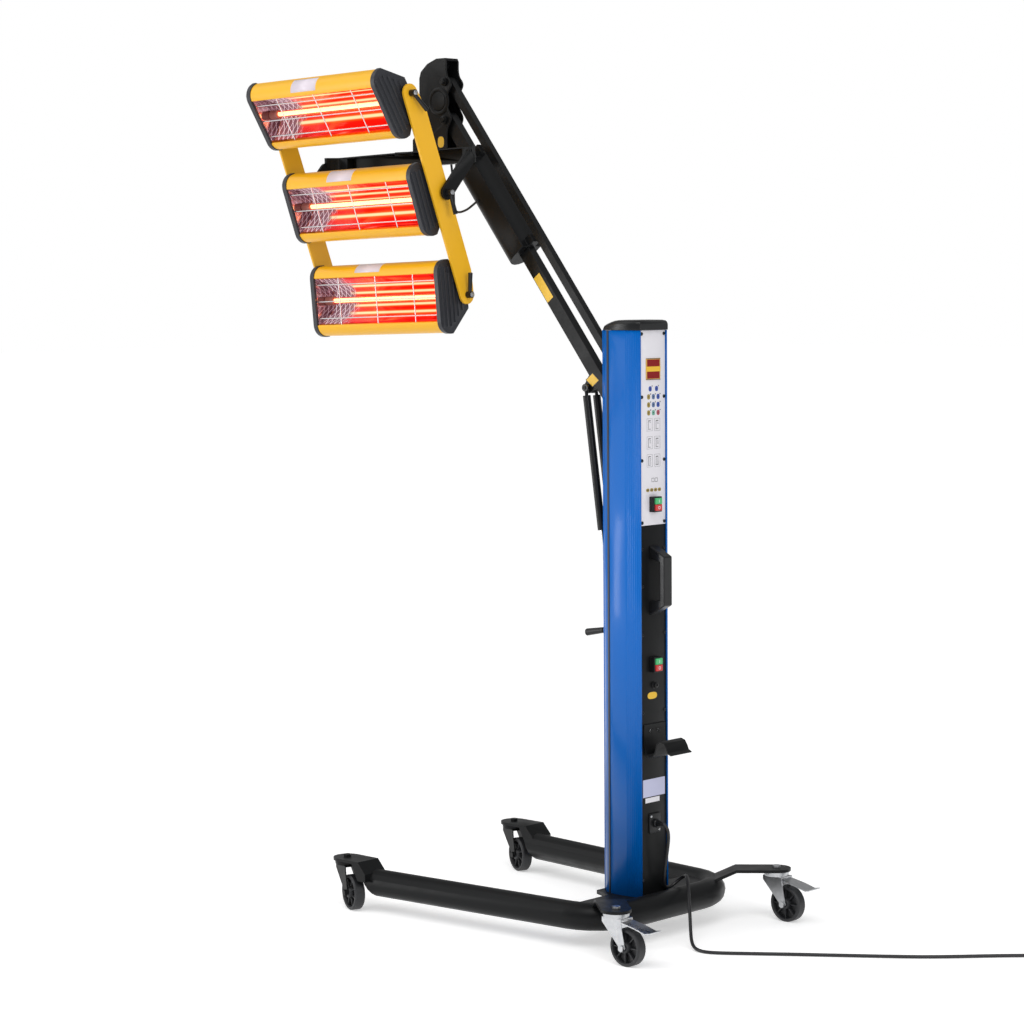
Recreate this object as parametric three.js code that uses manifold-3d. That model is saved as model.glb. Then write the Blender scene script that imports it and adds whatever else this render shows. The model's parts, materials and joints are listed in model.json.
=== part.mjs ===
// Infrared paint curing lamp on a rolling stand.
// Millimetres, +Z up, +X forward (the way the arm reaches), +Y left.
import * as THREE from 'three';
import { mergeVertices } from 'three/addons/utils/BufferGeometryUtils.js';
import Module from 'manifold-3d';

const wasm = await Module();
wasm.setup();

// Fits that the whole object shares
const CLEAR = 0.3;
const OVERRUN = 2;
const COARSE = 8;
const ROUND = 16;
const FINE = 20;
const ARC_SEGMENTS = 4;

// Base tube, bent to a U that is open to the front
const TUBE_OD = 57;
const TUBE_WALL = 2.5;
const TUBE_Z = 62;
const LEG_FRONT_X = 530;
const LEG_FRONT_Y = 251;
const LEG_MID_Y = 203;
const CROSS_X = -89;
const BEND_RADIUS = 95;
const BEND_STEPS = 6;
const TUBE_SIDES = 16;
const VENT_RADIUS = 4;

// Caster plates and casters
const PLATE_T = 6;
const PLATE_WIDTH = 60;
const PLATE_TOP_Z = 108;
const FRONT_BOLT_X = 579;
const FRONT_BOLT_Y = 258;
const REAR_BOLT_X = -171;
const REAR_BOLT_Y = 252;
const OUTRIGGER_LENGTH = 150;
const OUTRIGGER_LOW_Z = 85;
const OUTRIGGER_HEEL = 14;
const OUTRIGGER_KINK = 66;
const OUTRIGGER_TURN = 139.4;
const FRONT_PLATE_BACK = 62;
const FRONT_RAMP = 22;
const WHEEL_RADIUS = 37.5;
const WHEEL_WIDTH = 28;
const RIM_DEPTH = 7;
const HUB_RADIUS = 11;
const WEB_T = 4;
const SPOKES = 8;
const SPOKE_T = 2.4;
const WHEEL_SIDES = 20;
const TREAD_EDGE = 2.5;
const AXLE_RADIUS = 4;
const AXLE_HEAD_RADIUS = 7.5;
const AXLE_HEAD_T = 5;
const TRAIL = 30;
const KINGPIN_RADIUS = 5;
const KINGPIN_NUT_RADIUS = 8.5;
const KINGPIN_NUT_T = 5;
const RACEWAY_RADIUS = 27;
const RACEWAY_T = 9;
const FORK_CHEEK_T = 2.5;
const FORK_GAP = 1.2;
const FRONT_CASTER_TURN = 160;
const REAR_CASTER_TURN = 180;
const PEDAL_REACH = 99;
const PEDAL_ROOT = 27.6;
const PEDAL_WIDTH = 36;
const PEDAL_T = 2.5;
const PEDAL_PIVOT_Z = 85.5;
const PEDAL_DROP = 13;
const PEDAL_LIP = 12;
const PEDAL_BEND_SHARE = 0.45;

// Foot plate under the column
const FOOT_TOP_Z = 76.7;
const FOOT_T = 8;
const FOOT_FRONT_X = 14;
const FOOT_TONGUE_X = 60;
const FOOT_TONGUE_HALF = 48;

// Column section and height
const COLUMN_REAR_X = -56.5;
const COLUMN_FRONT_X = 56.5;
const COLUMN_DEPTH = COLUMN_FRONT_X - COLUMN_REAR_X;
const COLUMN_HALF_WIDTH = 52;
const COLUMN_REAR_HALF = 41.5;
const COLUMN_SLOT_HALF = 24;
const COLUMN_TOP_Z = 1221;
const SHELL_WALL = 3;
const CAP_RISE = 20;
const CAP_OVERHANG = 1.5;
const CAP_EDGE = 5;
const CAP_LIP = 8;
const GROOVE_WIDTH = 6.4;
const GROOVE_DEPTH = 1.2;

// Steel channel inside the column
const SPINE_HALF = 27;
const SPINE_WALL = 3;
const SPINE_BACK_X = -24;
const SPINE_FRONT_X = 46;
const SPINE_BRIDGE_HEIGHT = 46;

// Rear panels
const PANEL_X = -54;
const PANEL_T = 2.5;
const PANEL_HALF = 38;
const PANEL_SPLIT_Z = 830;
const PANEL_LEDGE = 5;
const DISPLAY_WIDTH = 44;
const DISPLAY_HEIGHT = 43;
const DISPLAY_Z = 1143.5;
const DISPLAY_RISE = 1.5;
const SWITCH_WIDTH = 25;
const SWITCH_HEIGHT = 31;
const SWITCH_DEPTH = 13;
const UPPER_SWITCH_Z = 872.5;
const LOWER_SWITCH_Z = 548.5;
const BUTTON_WIDTH = 19;
const BUTTON_HEIGHT = 12.5;
const BUTTON_DEPTH = 7;
const BUTTON_PROUD = 3.2;
const BUTTON_TRAVEL = 2;
const FUSE_RADIUS = 7;
const FUSE_LENGTH = 9;
const FUSE_Z = 506;
const HANDLE_LENGTH = 142;
const HANDLE_Z = 719;
const HANDLE_REACH = 39;
const HANDLE_WIDTH = 25;
const HANDLE_GRIP_T = 13;
const HANDLE_FOOT = 27;
const HOOK_WIDTH = 66;
const HOOK_T = 2.5;
const HOOK_SCREW_Z = 414;
const HOOK_TOP_Z = 428;
const HOOK_TROUGH_Z = 362;
const HOOK_TROUGH_OUT = 14;
const HOOK_HUMP_Z = 398;
const HOOK_HUMP_OUT = 46;
const HOOK_TIP_Z = 373;
const HOOK_TIP_OUT = 72;
const HOOK_SCREW_SPACING = 24;
const HOOK_SCREW_RADIUS = 4;
const INLET_WIDTH = 34;
const INLET_HEIGHT = 40;
const INLET_FLANGE_T = 3;
const INLET_Z = 224;
const GLAND_RADIUS = 9;
const GLAND_LENGTH = 18;

// Mains cord
const CORD_DIAMETER = 7;
const CORD_SIDES = 8;
const COIL_TURNS = 8;
const COIL_PITCH = 7.9;
const COIL_INNER_RADIUS = 24;
const COIL_STEPS = 24;
const COIL_SIDES = 6;
const COIL_X = -754;
const COIL_Y = -409;
const COIL_START_ANGLE = 133.8;
const COIL_TAIL = 46;
const PLUG_RADIUS = 18;
const PLUG_LENGTH = 40;
const PLUG_NECK = 16;
const PLUG_PIN_RADIUS = 2.4;
const PLUG_PIN_LENGTH = 19;
const PLUG_PIN_SPACING = 19;

// Arm and its pins
const ARM_PIN_X = 0;
const ARM_PIN_DROP = 208;
const ARM_PIN_Z = COLUMN_TOP_Z - ARM_PIN_DROP;
const ARM_LENGTH = 822;
const ARM_ANGLE = 52.1;
const LINK_HEIGHT = 80;
const ARM_DEPTH = 29;
const ARM_WIDTH = 20;
const ARM_WALL = 2;
const ARM_END = 17;
const TIE_DEPTH = 16;
const TIE_WIDTH = 16;
const TIE_END = 11;
const PIN_RADIUS = 6;
const COVER_LENGTH = 260;
const COVER_HEAD_GAP = 95;
const COVER_END = ARM_LENGTH - COVER_HEAD_GAP;
const COVER_START = COVER_END - COVER_LENGTH;
const COVER_HALF = 28;
const COVER_DROP = 31;
const COVER_WALL = 2.5;
const COLLAR_LENGTH = 20;
const COLLAR_RISE = 17;
const LUG_ALONG = 139.8;
const LUG_BELOW = 33;
const LUG_RADIUS = 12;
const LUG_WIDTH = 18;
const LUG_PIN_RADIUS = 4;

// Gas springs
const SPRING_OFFSET = 15.4;
const CYLINDER_RADIUS = 8;
const CYLINDER_START = 16;
const CYLINDER_END = 292;
const CYLINDER_BORE = 4.4;
const CYLINDER_BORE_DEPTH = 236;
const ROD_RADIUS = 4;
const ROD_OVERLAP = 26;
const EYE_RADIUS = 8;
const EYE_T = 7;
const SPRING_FOOT_X = 40;
const SPRING_FOOT_Z = 600;

// Arm lock lever on the column front
const LOCK_X = 50;
const LOCK_Z = 612;
const LOCK_STEM_RADIUS = 3;
const LOCK_STEM_LENGTH = 30;
const LOCK_GRIP_RADIUS = 7.5;
const LOCK_GRIP_LENGTH = 46;
const LOCK_DROOP = 10;
const LOCK_POST_HALF = 9;
const LOCK_POST_X = 42;
const LOCK_POST_HEIGHT = 16;
const LOCK_CHEEK_T = 4;
const LOCK_EYE_RADIUS = 5.5;
const LOCK_PIN_RADIUS = 2.5;

// Head bracket, in its own frame from the arm pin
const BRACKET_LEAN = 0;
const BRACKET_HALF = 19.2;
const BRACKET_WALL = 2.5;
const BRACKET_REAR = 17;
const BRACKET_FRONT = 97;
const BRACKET_TOP = 130;
const BRACKET_BOTTOM = 66;
const BRACKET_BOSS_RADIUS = 24;
const BRACKET_BOSS_RISE = 4;
const YAW_REACH = 68;
const YAW_PIN_RADIUS = 8;
const YAW_HEAD_RADIUS = 14;
const YAW_HEAD_T = 6;

// Fork
const FORK_BAR_Y = 66;
const FORK_BAR_HEIGHT = 33;
const FORK_CORNER = 45;
const FORK_ARM_START_DROP = 10;
const FORK_BAR_DEPTH = 20;
const FORK_WALL = 3;
const FORK_ARM_T = 6;
const FORK_ARM_WIDTH = 30;
const FORK_BAR_DROP = 17;
const FORK_PIN_Y = 168;
const FORK_PIN_DROP = 82;
const FORK_NECK_WIDTH = 60;
const FORK_NECK_T = 9;
const FORK_PIN_RADIUS = 5;
const FORK_STUB_RADIUS = 3;
const FORK_STUB_LENGTH = 19;
const HEAD_YAW = 0;
const HEAD_LEAN = 1.5;

// Frame of two side bars
const BAR_T = 5;
const BAR_WIDTH = 50;
const BAR_END_RADIUS = 19.5;
const BAR_PIN_OFFSET = 14;
const LAMP_SPACING = 217;
const BAR_CHAMFER = 44;
const FRAME_TILT = 20;

// Lamp cassettes, in their own frame from the tilt pin
const TOP_LAMP_TILT = 11;
const MIDDLE_LAMP_TILT = -1;
const BOTTOM_LAMP_TILT = -16;
const LAMP_LENGTH = 392;
const LAMP_FACE = 67;
const LAMP_HEIGHT = 150;
const LAMP_OPENING = 102;
const LAMP_BACK = 14;
const LAMP_BACK_HALF = 27;
const LAMP_WALL = 2;
const LIP_RADIUS = 26;
const LAMP_SHOULDER_Y = 34;
const CAP_T = 14;
const CAP_PROUD = 2;
const CAP_RIBS = 6;
const CAP_RIB_T = 4;
const CAP_RIB_RISE = 3;
const PIVOT_RADIUS = 9;
const LAMP_PIN_RADIUS = 5;
const QUARTZ_RADIUS = 7;
const QUARTZ_Y = 34;
const GUARD_WIRE = 1.3;
const GUARD_UPRIGHTS = 3;
const GUARD_RAILS = 3;
const GUARD_SETBACK = 6;

// Side bars stand clear of the lamps' ends, and the fork's arms clear of the side bars
const BAR_GAP = 6.5;
const HEAD_FORK_GAP = 5.5;
const BAR_PLANE = LAMP_LENGTH / 2 + BAR_GAP + BAR_T / 2;
const FORK_HALF = BAR_PLANE + BAR_T / 2 + HEAD_FORK_GAP + FORK_ARM_T;

// Clamp levers
const LEVER_HUB_RADIUS = 7;
const LEVER_HUB_T = 13;
const LEVER_LENGTH = 46;
const LEVER_RADIUS = 5;
const LEVER_LEAN = 12;

// Shapes given as shares of other sizes
const TUBE_END_SHARE = 1.4;
const FOOT_NECK_SHARE = 1.35;
const FOOT_HEEL_SHARE = 1.6;
const RACEWAY_TAPER_SHARE = 0.94;
const CHEEK_BACK_SHARE = 0.8;
const CHEEK_FRONT_SHARE = 0.9;
const AXLE_HEAD_SHARE = 0.9;
const SPIGOT_FRONT_SHARE = 0.4;
const SPIGOT_SIDE_SHARE = 0.9;
const FUSE_TOP_SHARE = 0.8;
const HANDLE_SLOPE_SHARE = 0.8;
const HANDLE_ROUND_SHARE = 0.3;
const HOOK_BEND_SHARE = 0.35;
const HOOK_RISE_SHARE = 0.8;
const HOOK_FALL_SHARE = 1.22;
const HOOK_LIP_SHARE = 0.9;
const GLAND_TAPER_SHARE = 0.6;
const COIL_CLIMB_TURNS = 0.25;
const CORD_LEAD_SHARE = 1.5;
const PLUG_GUARD_SHARE = 1.5;
const PLUG_SHOULDER_SHARE = 0.8;
const LUG_FOOT_SHARE = 1.6;
const LOCK_GRIP_TAPER_SHARE = 0.8;
const ARM_ROOM_SHARE = 0.9;
const PIN_HEAD_SHARE = 1.1;
const BOSS_RISE_SHARE = 0.7;
const BOSS_TOP_SHARE = 0.8;
const BAR_ROUND_SHARE = 0.9;
const RIB_SPAN_SHARE = 0.2;
const RIB_START_SHARE = 1.4;
const TUBE_CAP_LENGTH_SHARE = 3;
const TUBE_CAP_SHARE = 1.4;
const GUARD_UPRIGHT_SHARE = 0.62;
const GUARD_RAIL_SHARE = 0.7;
const LEVER_TAPER_SHARE = 0.8;

const DEG = Math.PI / 180;
const column = {
  rear: COLUMN_REAR_X,
  front: COLUMN_FRONT_X,
  base: FOOT_TOP_Z + CLEAR,
};
const wheelTop = WHEEL_RADIUS * 2;
const panelBack = PANEL_X + PANEL_T;
const plateUnder = PLATE_TOP_Z - PLATE_T;

// Helpers: a closed geometry becomes a solid, and solids are joined or cut
function solid(geometry) {
  const bare = geometry.clone();
  bare.deleteAttribute('normal');
  bare.deleteAttribute('uv');
  const merged = mergeVertices(bare);
  return new wasm.Manifold(new wasm.Mesh({
    numProp: 3,
    vertProperties: new Float32Array(merged.attributes.position.array),
    triVerts: new Uint32Array(merged.index.array),
  }));
}

function geometryOf(manifold) {
  const mesh = manifold.getMesh();
  const geometry = new THREE.BufferGeometry();
  geometry.setAttribute('position', new THREE.BufferAttribute(mesh.vertProperties.slice(), 3));
  geometry.setIndex(new THREE.BufferAttribute(mesh.triVerts.slice(), 1));
  return geometry;
}

const join = (...parts) => geometryOf(parts.map(solid).reduce((a, b) => a.add(b)));
const cut = (body, ...tools) => geometryOf(tools.map(solid).reduce((a, b) => a.subtract(b), solid(body)));
const common = (a, b) => geometryOf(solid(a).intersect(solid(b)));

// A block given by its lowest and highest corners
function block([x0, y0, z0], [x1, y1, z1]) {
  const geometry = new THREE.BoxGeometry(x1 - x0, y1 - y0, z1 - z0);
  return geometry.translate((x0 + x1) / 2, (y0 + y1) / 2, (z0 + z1) / 2);
}

// A round bar between two points
function bar(from, to, radius, sides = ROUND, endRadius = radius) {
  const a = new THREE.Vector3(...from);
  const b = new THREE.Vector3(...to);
  const along = b.clone().sub(a);
  const geometry = new THREE.CylinderGeometry(endRadius, radius, along.length(), sides);
  geometry.translate(0, along.length() / 2, 0);
  const turn = new THREE.Quaternion().setFromUnitVectors(new THREE.Vector3(0, 1, 0), along.normalize());
  return geometry.applyQuaternion(turn).translate(a.x, a.y, a.z);
}

// An outline in X and Z, made thick along Y between two values
function slabXZ(outline, y0, y1) {
  const geometry = new THREE.ExtrudeGeometry(outline, {
    depth: y1 - y0, bevelEnabled: false, curveSegments: ARC_SEGMENTS,
  });
  return geometry.rotateX(Math.PI / 2).translate(0, y1, 0);
}

// An outline in X and Y, made thick along Z
function slabXY(outline, z0, z1) {
  const geometry = new THREE.ExtrudeGeometry(outline, {
    depth: z1 - z0, bevelEnabled: false, curveSegments: ARC_SEGMENTS,
  });
  return geometry.translate(0, 0, z0);
}

// An outline in Y and Z, made thick along X
function slabYZ(outline, x0, x1) {
  const geometry = new THREE.ExtrudeGeometry(outline, {
    depth: x1 - x0, bevelEnabled: false, curveSegments: ARC_SEGMENTS,
  });
  geometry.applyMatrix4(new THREE.Matrix4().makeBasis(
    new THREE.Vector3(0, 1, 0), new THREE.Vector3(0, 0, 1), new THREE.Vector3(1, 0, 0)));
  return geometry.translate(x0, 0, 0);
}

const outlineOf = (points) => new THREE.Shape(points.map(([a, b]) => new THREE.Vector2(a, b)));

// A stadium outline round two points
function stadium([x0, y0], [x1, y1], radius) {
  const along = Math.atan2(y1 - y0, x1 - x0);
  const outline = new THREE.Shape();
  outline.absarc(x1, y1, radius, along - Math.PI / 2, along + Math.PI / 2, false);
  outline.absarc(x0, y0, radius, along + Math.PI / 2, along + Math.PI * 1.5, false);
  outline.closePath();
  return outline;
}

// A path through given points, taken point by point, with the tangent between its neighbours
class Route extends THREE.Curve {
  constructor(points) {
    super();
    this.points = points.map((p) => (p.isVector3 ? p : new THREE.Vector3(...p)));
  }

  place(t) {
    return Math.min(Math.round(t * (this.points.length - 1)), this.points.length - 1);
  }

  getPoint(t) {
    return this.points[this.place(t)].clone();
  }

  getPointAt(u) {
    return this.getPoint(u);
  }

  getTangentAt(u) {
    const i = this.place(u);
    const before = this.points[Math.max(i - 1, 0)];
    const here = this.points[i];
    const after = this.points[Math.min(i + 1, this.points.length - 1)];
    const arrive = here.clone().sub(before).normalize();
    const leave = after.clone().sub(here).normalize();
    return arrive.add(leave).normalize();
  }
}

function ring(radius, sides, phase = 0) {
  const points = [];
  for (let i = 0; i < sides; i += 1) {
    const angle = phase + (i / sides) * Math.PI * 2;
    points.push([radius * Math.cos(angle), radius * Math.sin(angle)]);
  }
  return outlineOf(points);
}

function pipe(points, radius, sides, phase = 0) {
  return new THREE.ExtrudeGeometry(ring(radius, sides, phase), {
    steps: points.length - 1, extrudePath: new Route(points), bevelEnabled: false,
  });
}

// Finishes
const finish = (color, roughness, metalness) => (
  new THREE.MeshStandardMaterial({ color, roughness, metalness }));
const BLACK_POWDER = finish('#26272a', 0.55, 0.2);
const BLACK_PLASTIC = finish('#1d1e20', 0.5, 0);
const BLUE_PAINT = finish('#0f6fd6', 0.35, 0.3);
const YELLOW_PAINT = finish('#fbb117', 0.4, 0.1);
const WHITE_PLASTIC = finish('#eceaf0', 0.5, 0);
const ZINC = finish('#b8b8b8', 0.35, 0.9);
const TYRE = finish('#202123', 0.8, 0);
const QUARTZ = finish('#ff6a2a', 0.2, 0);
const WIRE = finish('#e8e2e0', 0.3, 0.9);
const GREEN = finish('#6fcf8a', 0.45, 0);
const RED = finish('#d33a3a', 0.45, 0);
const RUBBER = finish('#141416', 0.7, 0);

function piece(name, geometry, material) {
  const mesh = new THREE.Mesh(geometry, material);
  mesh.name = name;
  return mesh;
}

function groupAt(x, y, z) {
  const group = new THREE.Group();
  group.position.set(x, y, z);
  return group;
}

const lamp = new THREE.Group();

// Base frame: bent tube, foot plate, front caster brackets and rear outriggers, welded together
function legY(x) {
  return LEG_MID_Y + (LEG_FRONT_Y - LEG_MID_Y) * (x / LEG_FRONT_X);
}

function basePath(frontX) {
  const lean = Math.atan2(LEG_FRONT_Y - LEG_MID_Y, LEG_FRONT_X);
  const centreX = CROSS_X + BEND_RADIUS;
  const centreY = legY(centreX) - BEND_RADIUS / Math.cos(lean);
  const points = [[frontX, legY(frontX), TUBE_Z]];
  for (let i = 0; i <= BEND_STEPS; i += 1) {
    const angle = Math.PI / 2 + lean + (i / BEND_STEPS) * (Math.PI / 2 - lean);
    points.push([
      centreX + BEND_RADIUS * Math.cos(angle),
      centreY + BEND_RADIUS * Math.sin(angle),
      TUBE_Z,
    ]);
  }
  const mirrored = points.map(([x, y, z]) => [x, -y, z]).reverse();
  return points.concat(mirrored);
}

function baseFrame() {
  const radius = TUBE_OD / 2;
  const bore = radius - TUBE_WALL;
  const outer = pipe(basePath(LEG_FRONT_X + radius), radius, TUBE_SIDES);
  const inner = pipe(basePath(LEG_FRONT_X + radius - OVERRUN), bore, TUBE_SIDES);
  const endTop = LEG_FRONT_X;
  const endBottom = LEG_FRONT_X - radius * TUBE_END_SHARE;
  const top = TUBE_Z + radius;
  const bottom = TUBE_Z - radius;
  const beyond = LEG_FRONT_X + TUBE_OD * 2;
  const farY = FRONT_BOLT_Y * 2;
  const ahead = (back) => slabXZ(outlineOf([
    [endTop - back, top + PLATE_T], [endBottom - back, bottom - OVERRUN],
    [beyond, bottom - OVERRUN], [beyond, top + PLATE_T],
  ]), -farY, farY);
  const body = [cut(outer, ahead(0))];
  const hollow = [cut(inner, ahead(PLATE_T / 2))];

  const half = PLATE_WIDTH / 2;
  const footEdge = legY(0) + TUBE_WALL;
  body.push(slabXY(outlineOf([
    [FOOT_TONGUE_X, -FOOT_TONGUE_HALF], [FOOT_TONGUE_X, FOOT_TONGUE_HALF],
    [FOOT_FRONT_X, FOOT_TONGUE_HALF * FOOT_NECK_SHARE], [FOOT_FRONT_X, footEdge],
    [CROSS_X / 2, footEdge], [CROSS_X, FOOT_TONGUE_HALF * FOOT_HEEL_SHARE],
    [CROSS_X, -FOOT_TONGUE_HALF * FOOT_HEEL_SHARE], [CROSS_X / 2, -footEdge],
    [FOOT_FRONT_X, -footEdge], [FOOT_FRONT_X, -FOOT_TONGUE_HALF * FOOT_NECK_SHARE],
  ]), FOOT_TOP_Z - FOOT_T, FOOT_TOP_Z));

  const holes = [];
  for (const side of [1, -1]) {
    const boltY = side * FRONT_BOLT_Y;
    const back = FRONT_BOLT_X - FRONT_PLATE_BACK;
    body.push(slabXZ(outlineOf([
      [FRONT_BOLT_X, PLATE_TOP_Z], [back, PLATE_TOP_Z], [back - FRONT_RAMP, top - PLATE_T],
      [back - FRONT_RAMP, TUBE_Z + PLATE_T], [endTop - PLATE_T * 2, TUBE_Z + PLATE_T],
      [endTop + PLATE_T, plateUnder],
      [FRONT_BOLT_X, plateUnder],
    ]), boltY - half, boltY + half));
    body.push(bar([FRONT_BOLT_X, boltY, plateUnder], [FRONT_BOLT_X, boltY, PLATE_TOP_Z], half, FINE));
    hollow.push(slabXZ(outlineOf([
      [back, PLATE_TOP_Z - PLATE_T], [back - FRONT_RAMP + PLATE_T, top - PLATE_T * 1.5],
      [back - FRONT_RAMP + PLATE_T, TUBE_Z + PLATE_T * 2], [endTop - PLATE_T * 3, TUBE_Z + PLATE_T * 2],
      [endTop - PLATE_T, plateUnder],
    ]), boltY - half + PLATE_T / 2, boltY + half - PLATE_T / 2));

    const outriggerTurn = side * OUTRIGGER_TURN * DEG;
    const ramp = slabXZ(outlineOf([
      [0, OUTRIGGER_LOW_Z], [OUTRIGGER_HEEL, OUTRIGGER_LOW_Z], [OUTRIGGER_KINK, PLATE_TOP_Z],
      [OUTRIGGER_LENGTH, PLATE_TOP_Z], [OUTRIGGER_LENGTH, plateUnder],
      [OUTRIGGER_KINK + PLATE_T / 4, plateUnder], [OUTRIGGER_HEEL + PLATE_T / 4, OUTRIGGER_LOW_Z - PLATE_T],
      [0, OUTRIGGER_LOW_Z - PLATE_T],
    ]), -half, half);
    ramp.translate(-OUTRIGGER_LENGTH, 0, 0).rotateZ(outriggerTurn);
    ramp.translate(REAR_BOLT_X, side * REAR_BOLT_Y, 0);
    body.push(ramp);
    body.push(bar([REAR_BOLT_X, side * REAR_BOLT_Y, plateUnder],
      [REAR_BOLT_X, side * REAR_BOLT_Y, PLATE_TOP_Z], half, FINE));
    for (const x of [FRONT_BOLT_X, REAR_BOLT_X]) {
      const y = side * (x === FRONT_BOLT_X ? FRONT_BOLT_Y : REAR_BOLT_Y);
      holes.push(bar([x, y, plateUnder - OVERRUN], [x, y, PLATE_TOP_Z + OVERRUN],
        KINGPIN_RADIUS + CLEAR, ROUND));
    }
    const ventX = endBottom;
    holes.push(bar([ventX - OVERRUN * 2, side * legY(ventX), TUBE_Z - radius / 2],
      [beyond, side * legY(ventX), TUBE_Z - radius / 2], VENT_RADIUS, COARSE));
  }
  return cut(join(...body), ...hollow, ...holes);
}

lamp.add(piece('base_frame', baseFrame(), BLACK_POWDER));

// Casters: the frame's origin is the king pin axis at floor level, the wheel trails along +X
function casterFork() {
  const inner = WHEEL_WIDTH / 2 + FORK_GAP;
  const outer = inner + FORK_CHEEK_T;
  const top = plateUnder - CLEAR;
  const crownUnder = top - RACEWAY_T;
  const parts = [
    bar([0, 0, crownUnder], [0, 0, top], RACEWAY_RADIUS * RACEWAY_TAPER_SHARE, FINE, RACEWAY_RADIUS),
    bar([0, 0, crownUnder], [0, 0, PLATE_TOP_Z + CLEAR + KINGPIN_NUT_T], KINGPIN_RADIUS, ROUND),
    bar([0, 0, PLATE_TOP_Z + CLEAR], [0, 0, PLATE_TOP_Z + CLEAR + KINGPIN_NUT_T], KINGPIN_NUT_RADIUS, 6),
    block([-RACEWAY_RADIUS * CHEEK_BACK_SHARE, -outer, crownUnder - FORK_CHEEK_T],
      [TRAIL * CHEEK_FRONT_SHARE, outer, crownUnder]),
    bar([TRAIL, -outer - AXLE_HEAD_T, WHEEL_RADIUS], [TRAIL, outer + AXLE_HEAD_T, WHEEL_RADIUS],
      AXLE_RADIUS, ROUND),
  ];
  for (const side of [1, -1]) {
    const y0 = side > 0 ? inner : -outer;
    parts.push(slabXZ(outlineOf([
      [-RACEWAY_RADIUS * CHEEK_BACK_SHARE, crownUnder],
      [-RACEWAY_RADIUS * CHEEK_BACK_SHARE, crownUnder - RACEWAY_T],
      [TRAIL - AXLE_HEAD_RADIUS, WHEEL_RADIUS], [TRAIL, WHEEL_RADIUS - AXLE_HEAD_RADIUS],
      [TRAIL + AXLE_HEAD_RADIUS, WHEEL_RADIUS], [TRAIL * CHEEK_FRONT_SHARE, crownUnder - RACEWAY_T],
      [TRAIL * CHEEK_FRONT_SHARE, crownUnder],
    ]), y0, y0 + FORK_CHEEK_T));
    const face = side * outer;
    parts.push(bar([TRAIL, face, WHEEL_RADIUS], [TRAIL, face + side * AXLE_HEAD_T, WHEEL_RADIUS],
      AXLE_HEAD_RADIUS * AXLE_HEAD_SHARE, 6));
  }
  return join(...parts);
}

function casterWheel() {
  const half = WHEEL_WIDTH / 2;
  const rimInner = WHEEL_RADIUS - RIM_DEPTH;
  const bore = AXLE_RADIUS + CLEAR;
  // The tread's flats, not its corners, lie at the wheel's radius: one flat stands on the floor
  const tread = WHEEL_RADIUS / Math.cos(Math.PI / WHEEL_SIDES);
  const outline = [
    [bore, -half], [HUB_RADIUS, -half], [HUB_RADIUS, -WEB_T / 2], [rimInner, -WEB_T / 2],
    [rimInner, -half + TREAD_EDGE], [tread, -half + TREAD_EDGE],
    [tread, half - TREAD_EDGE],
    [rimInner, half - TREAD_EDGE], [rimInner, WEB_T / 2], [HUB_RADIUS, WEB_T / 2], [HUB_RADIUS, half],
    [bore, half], [bore, -half],
  ].map(([r, y]) => new THREE.Vector2(r, y));
  const body = new THREE.LatheGeometry(outline, WHEEL_SIDES, Math.PI / WHEEL_SIDES);
  const spokes = [];
  for (let i = 0; i < SPOKES; i += 1) {
    const spoke = block([HUB_RADIUS - WEB_T / 2, -half + TREAD_EDGE * 2, -SPOKE_T / 2],
      [rimInner + WEB_T / 2, half - TREAD_EDGE * 2, SPOKE_T / 2]);
    spokes.push(spoke.rotateY((i / SPOKES) * Math.PI * 2));
  }
  return join(body, ...spokes);
}

function brakePedal() {
  // Pivot at the origin, tread plate reaching along +X over the wheel
  const reach = PEDAL_REACH - PEDAL_ROOT;
  const half = PEDAL_WIDTH / 2;
  const bend = [reach * PEDAL_BEND_SHARE, -PEDAL_DROP * PEDAL_BEND_SHARE];
  const lower = [[0, 0], bend, [reach - PEDAL_LIP, -PEDAL_DROP], [reach, -PEDAL_DROP + PEDAL_T]];
  const upper = lower.map(([x, z]) => [x, z + PEDAL_T]).reverse();
  return slabXZ(outlineOf([...lower, ...upper]), -half, half);
}

const casters = [
  ['front_left', FRONT_BOLT_X, FRONT_BOLT_Y, FRONT_CASTER_TURN, false],
  ['front_right', FRONT_BOLT_X, -FRONT_BOLT_Y, FRONT_CASTER_TURN, false],
  ['rear_left', REAR_BOLT_X, REAR_BOLT_Y, REAR_CASTER_TURN, true],
  ['rear_right', REAR_BOLT_X, -REAR_BOLT_Y, REAR_CASTER_TURN, true],
];
for (const [place, x, y, turn, braked] of casters) {
  const swivel = groupAt(x, y, 0);
  swivel.rotation.z = turn * DEG;
  swivel.add(piece(`caster_fork_${place}`, casterFork(), braked ? ZINC : BLACK_POWDER));
  const axle = groupAt(TRAIL, 0, WHEEL_RADIUS);
  axle.add(piece(`caster_wheel_${place}`, casterWheel(), TYRE));
  swivel.add(axle);
  if (braked) {
    const pedal = groupAt(PEDAL_ROOT, 0, PEDAL_PIVOT_Z);
    pedal.add(piece(`brake_pedal_${place}`, brakePedal(), ZINC));
    swivel.add(pedal);
  }
  lamp.add(swivel);
}

// Column section: half outline from the rear edge round the side to the front slot, as shares of
// the column's depth and half width
const COLUMN_OUTLINE_SHARES = [
  [-0.4, 0.9], [-0.25, 0.965], [-0.05, 1], [0.12, 0.99], [0.25, 0.93], [0.33, 0.84], [0.39, 0.72],
  [0.43, 0.58],
];

function columnHalf(inset) {
  const half = COLUMN_HALF_WIDTH - inset;
  const rear = column.rear + inset;
  const front = column.front - inset;
  const points = COLUMN_OUTLINE_SHARES.map(([dx, dy]) => [dx * (COLUMN_DEPTH - inset * 2), dy * half]);
  return [[rear, COLUMN_REAR_HALF - inset], ...points, [front, COLUMN_SLOT_HALF]];
}

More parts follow.
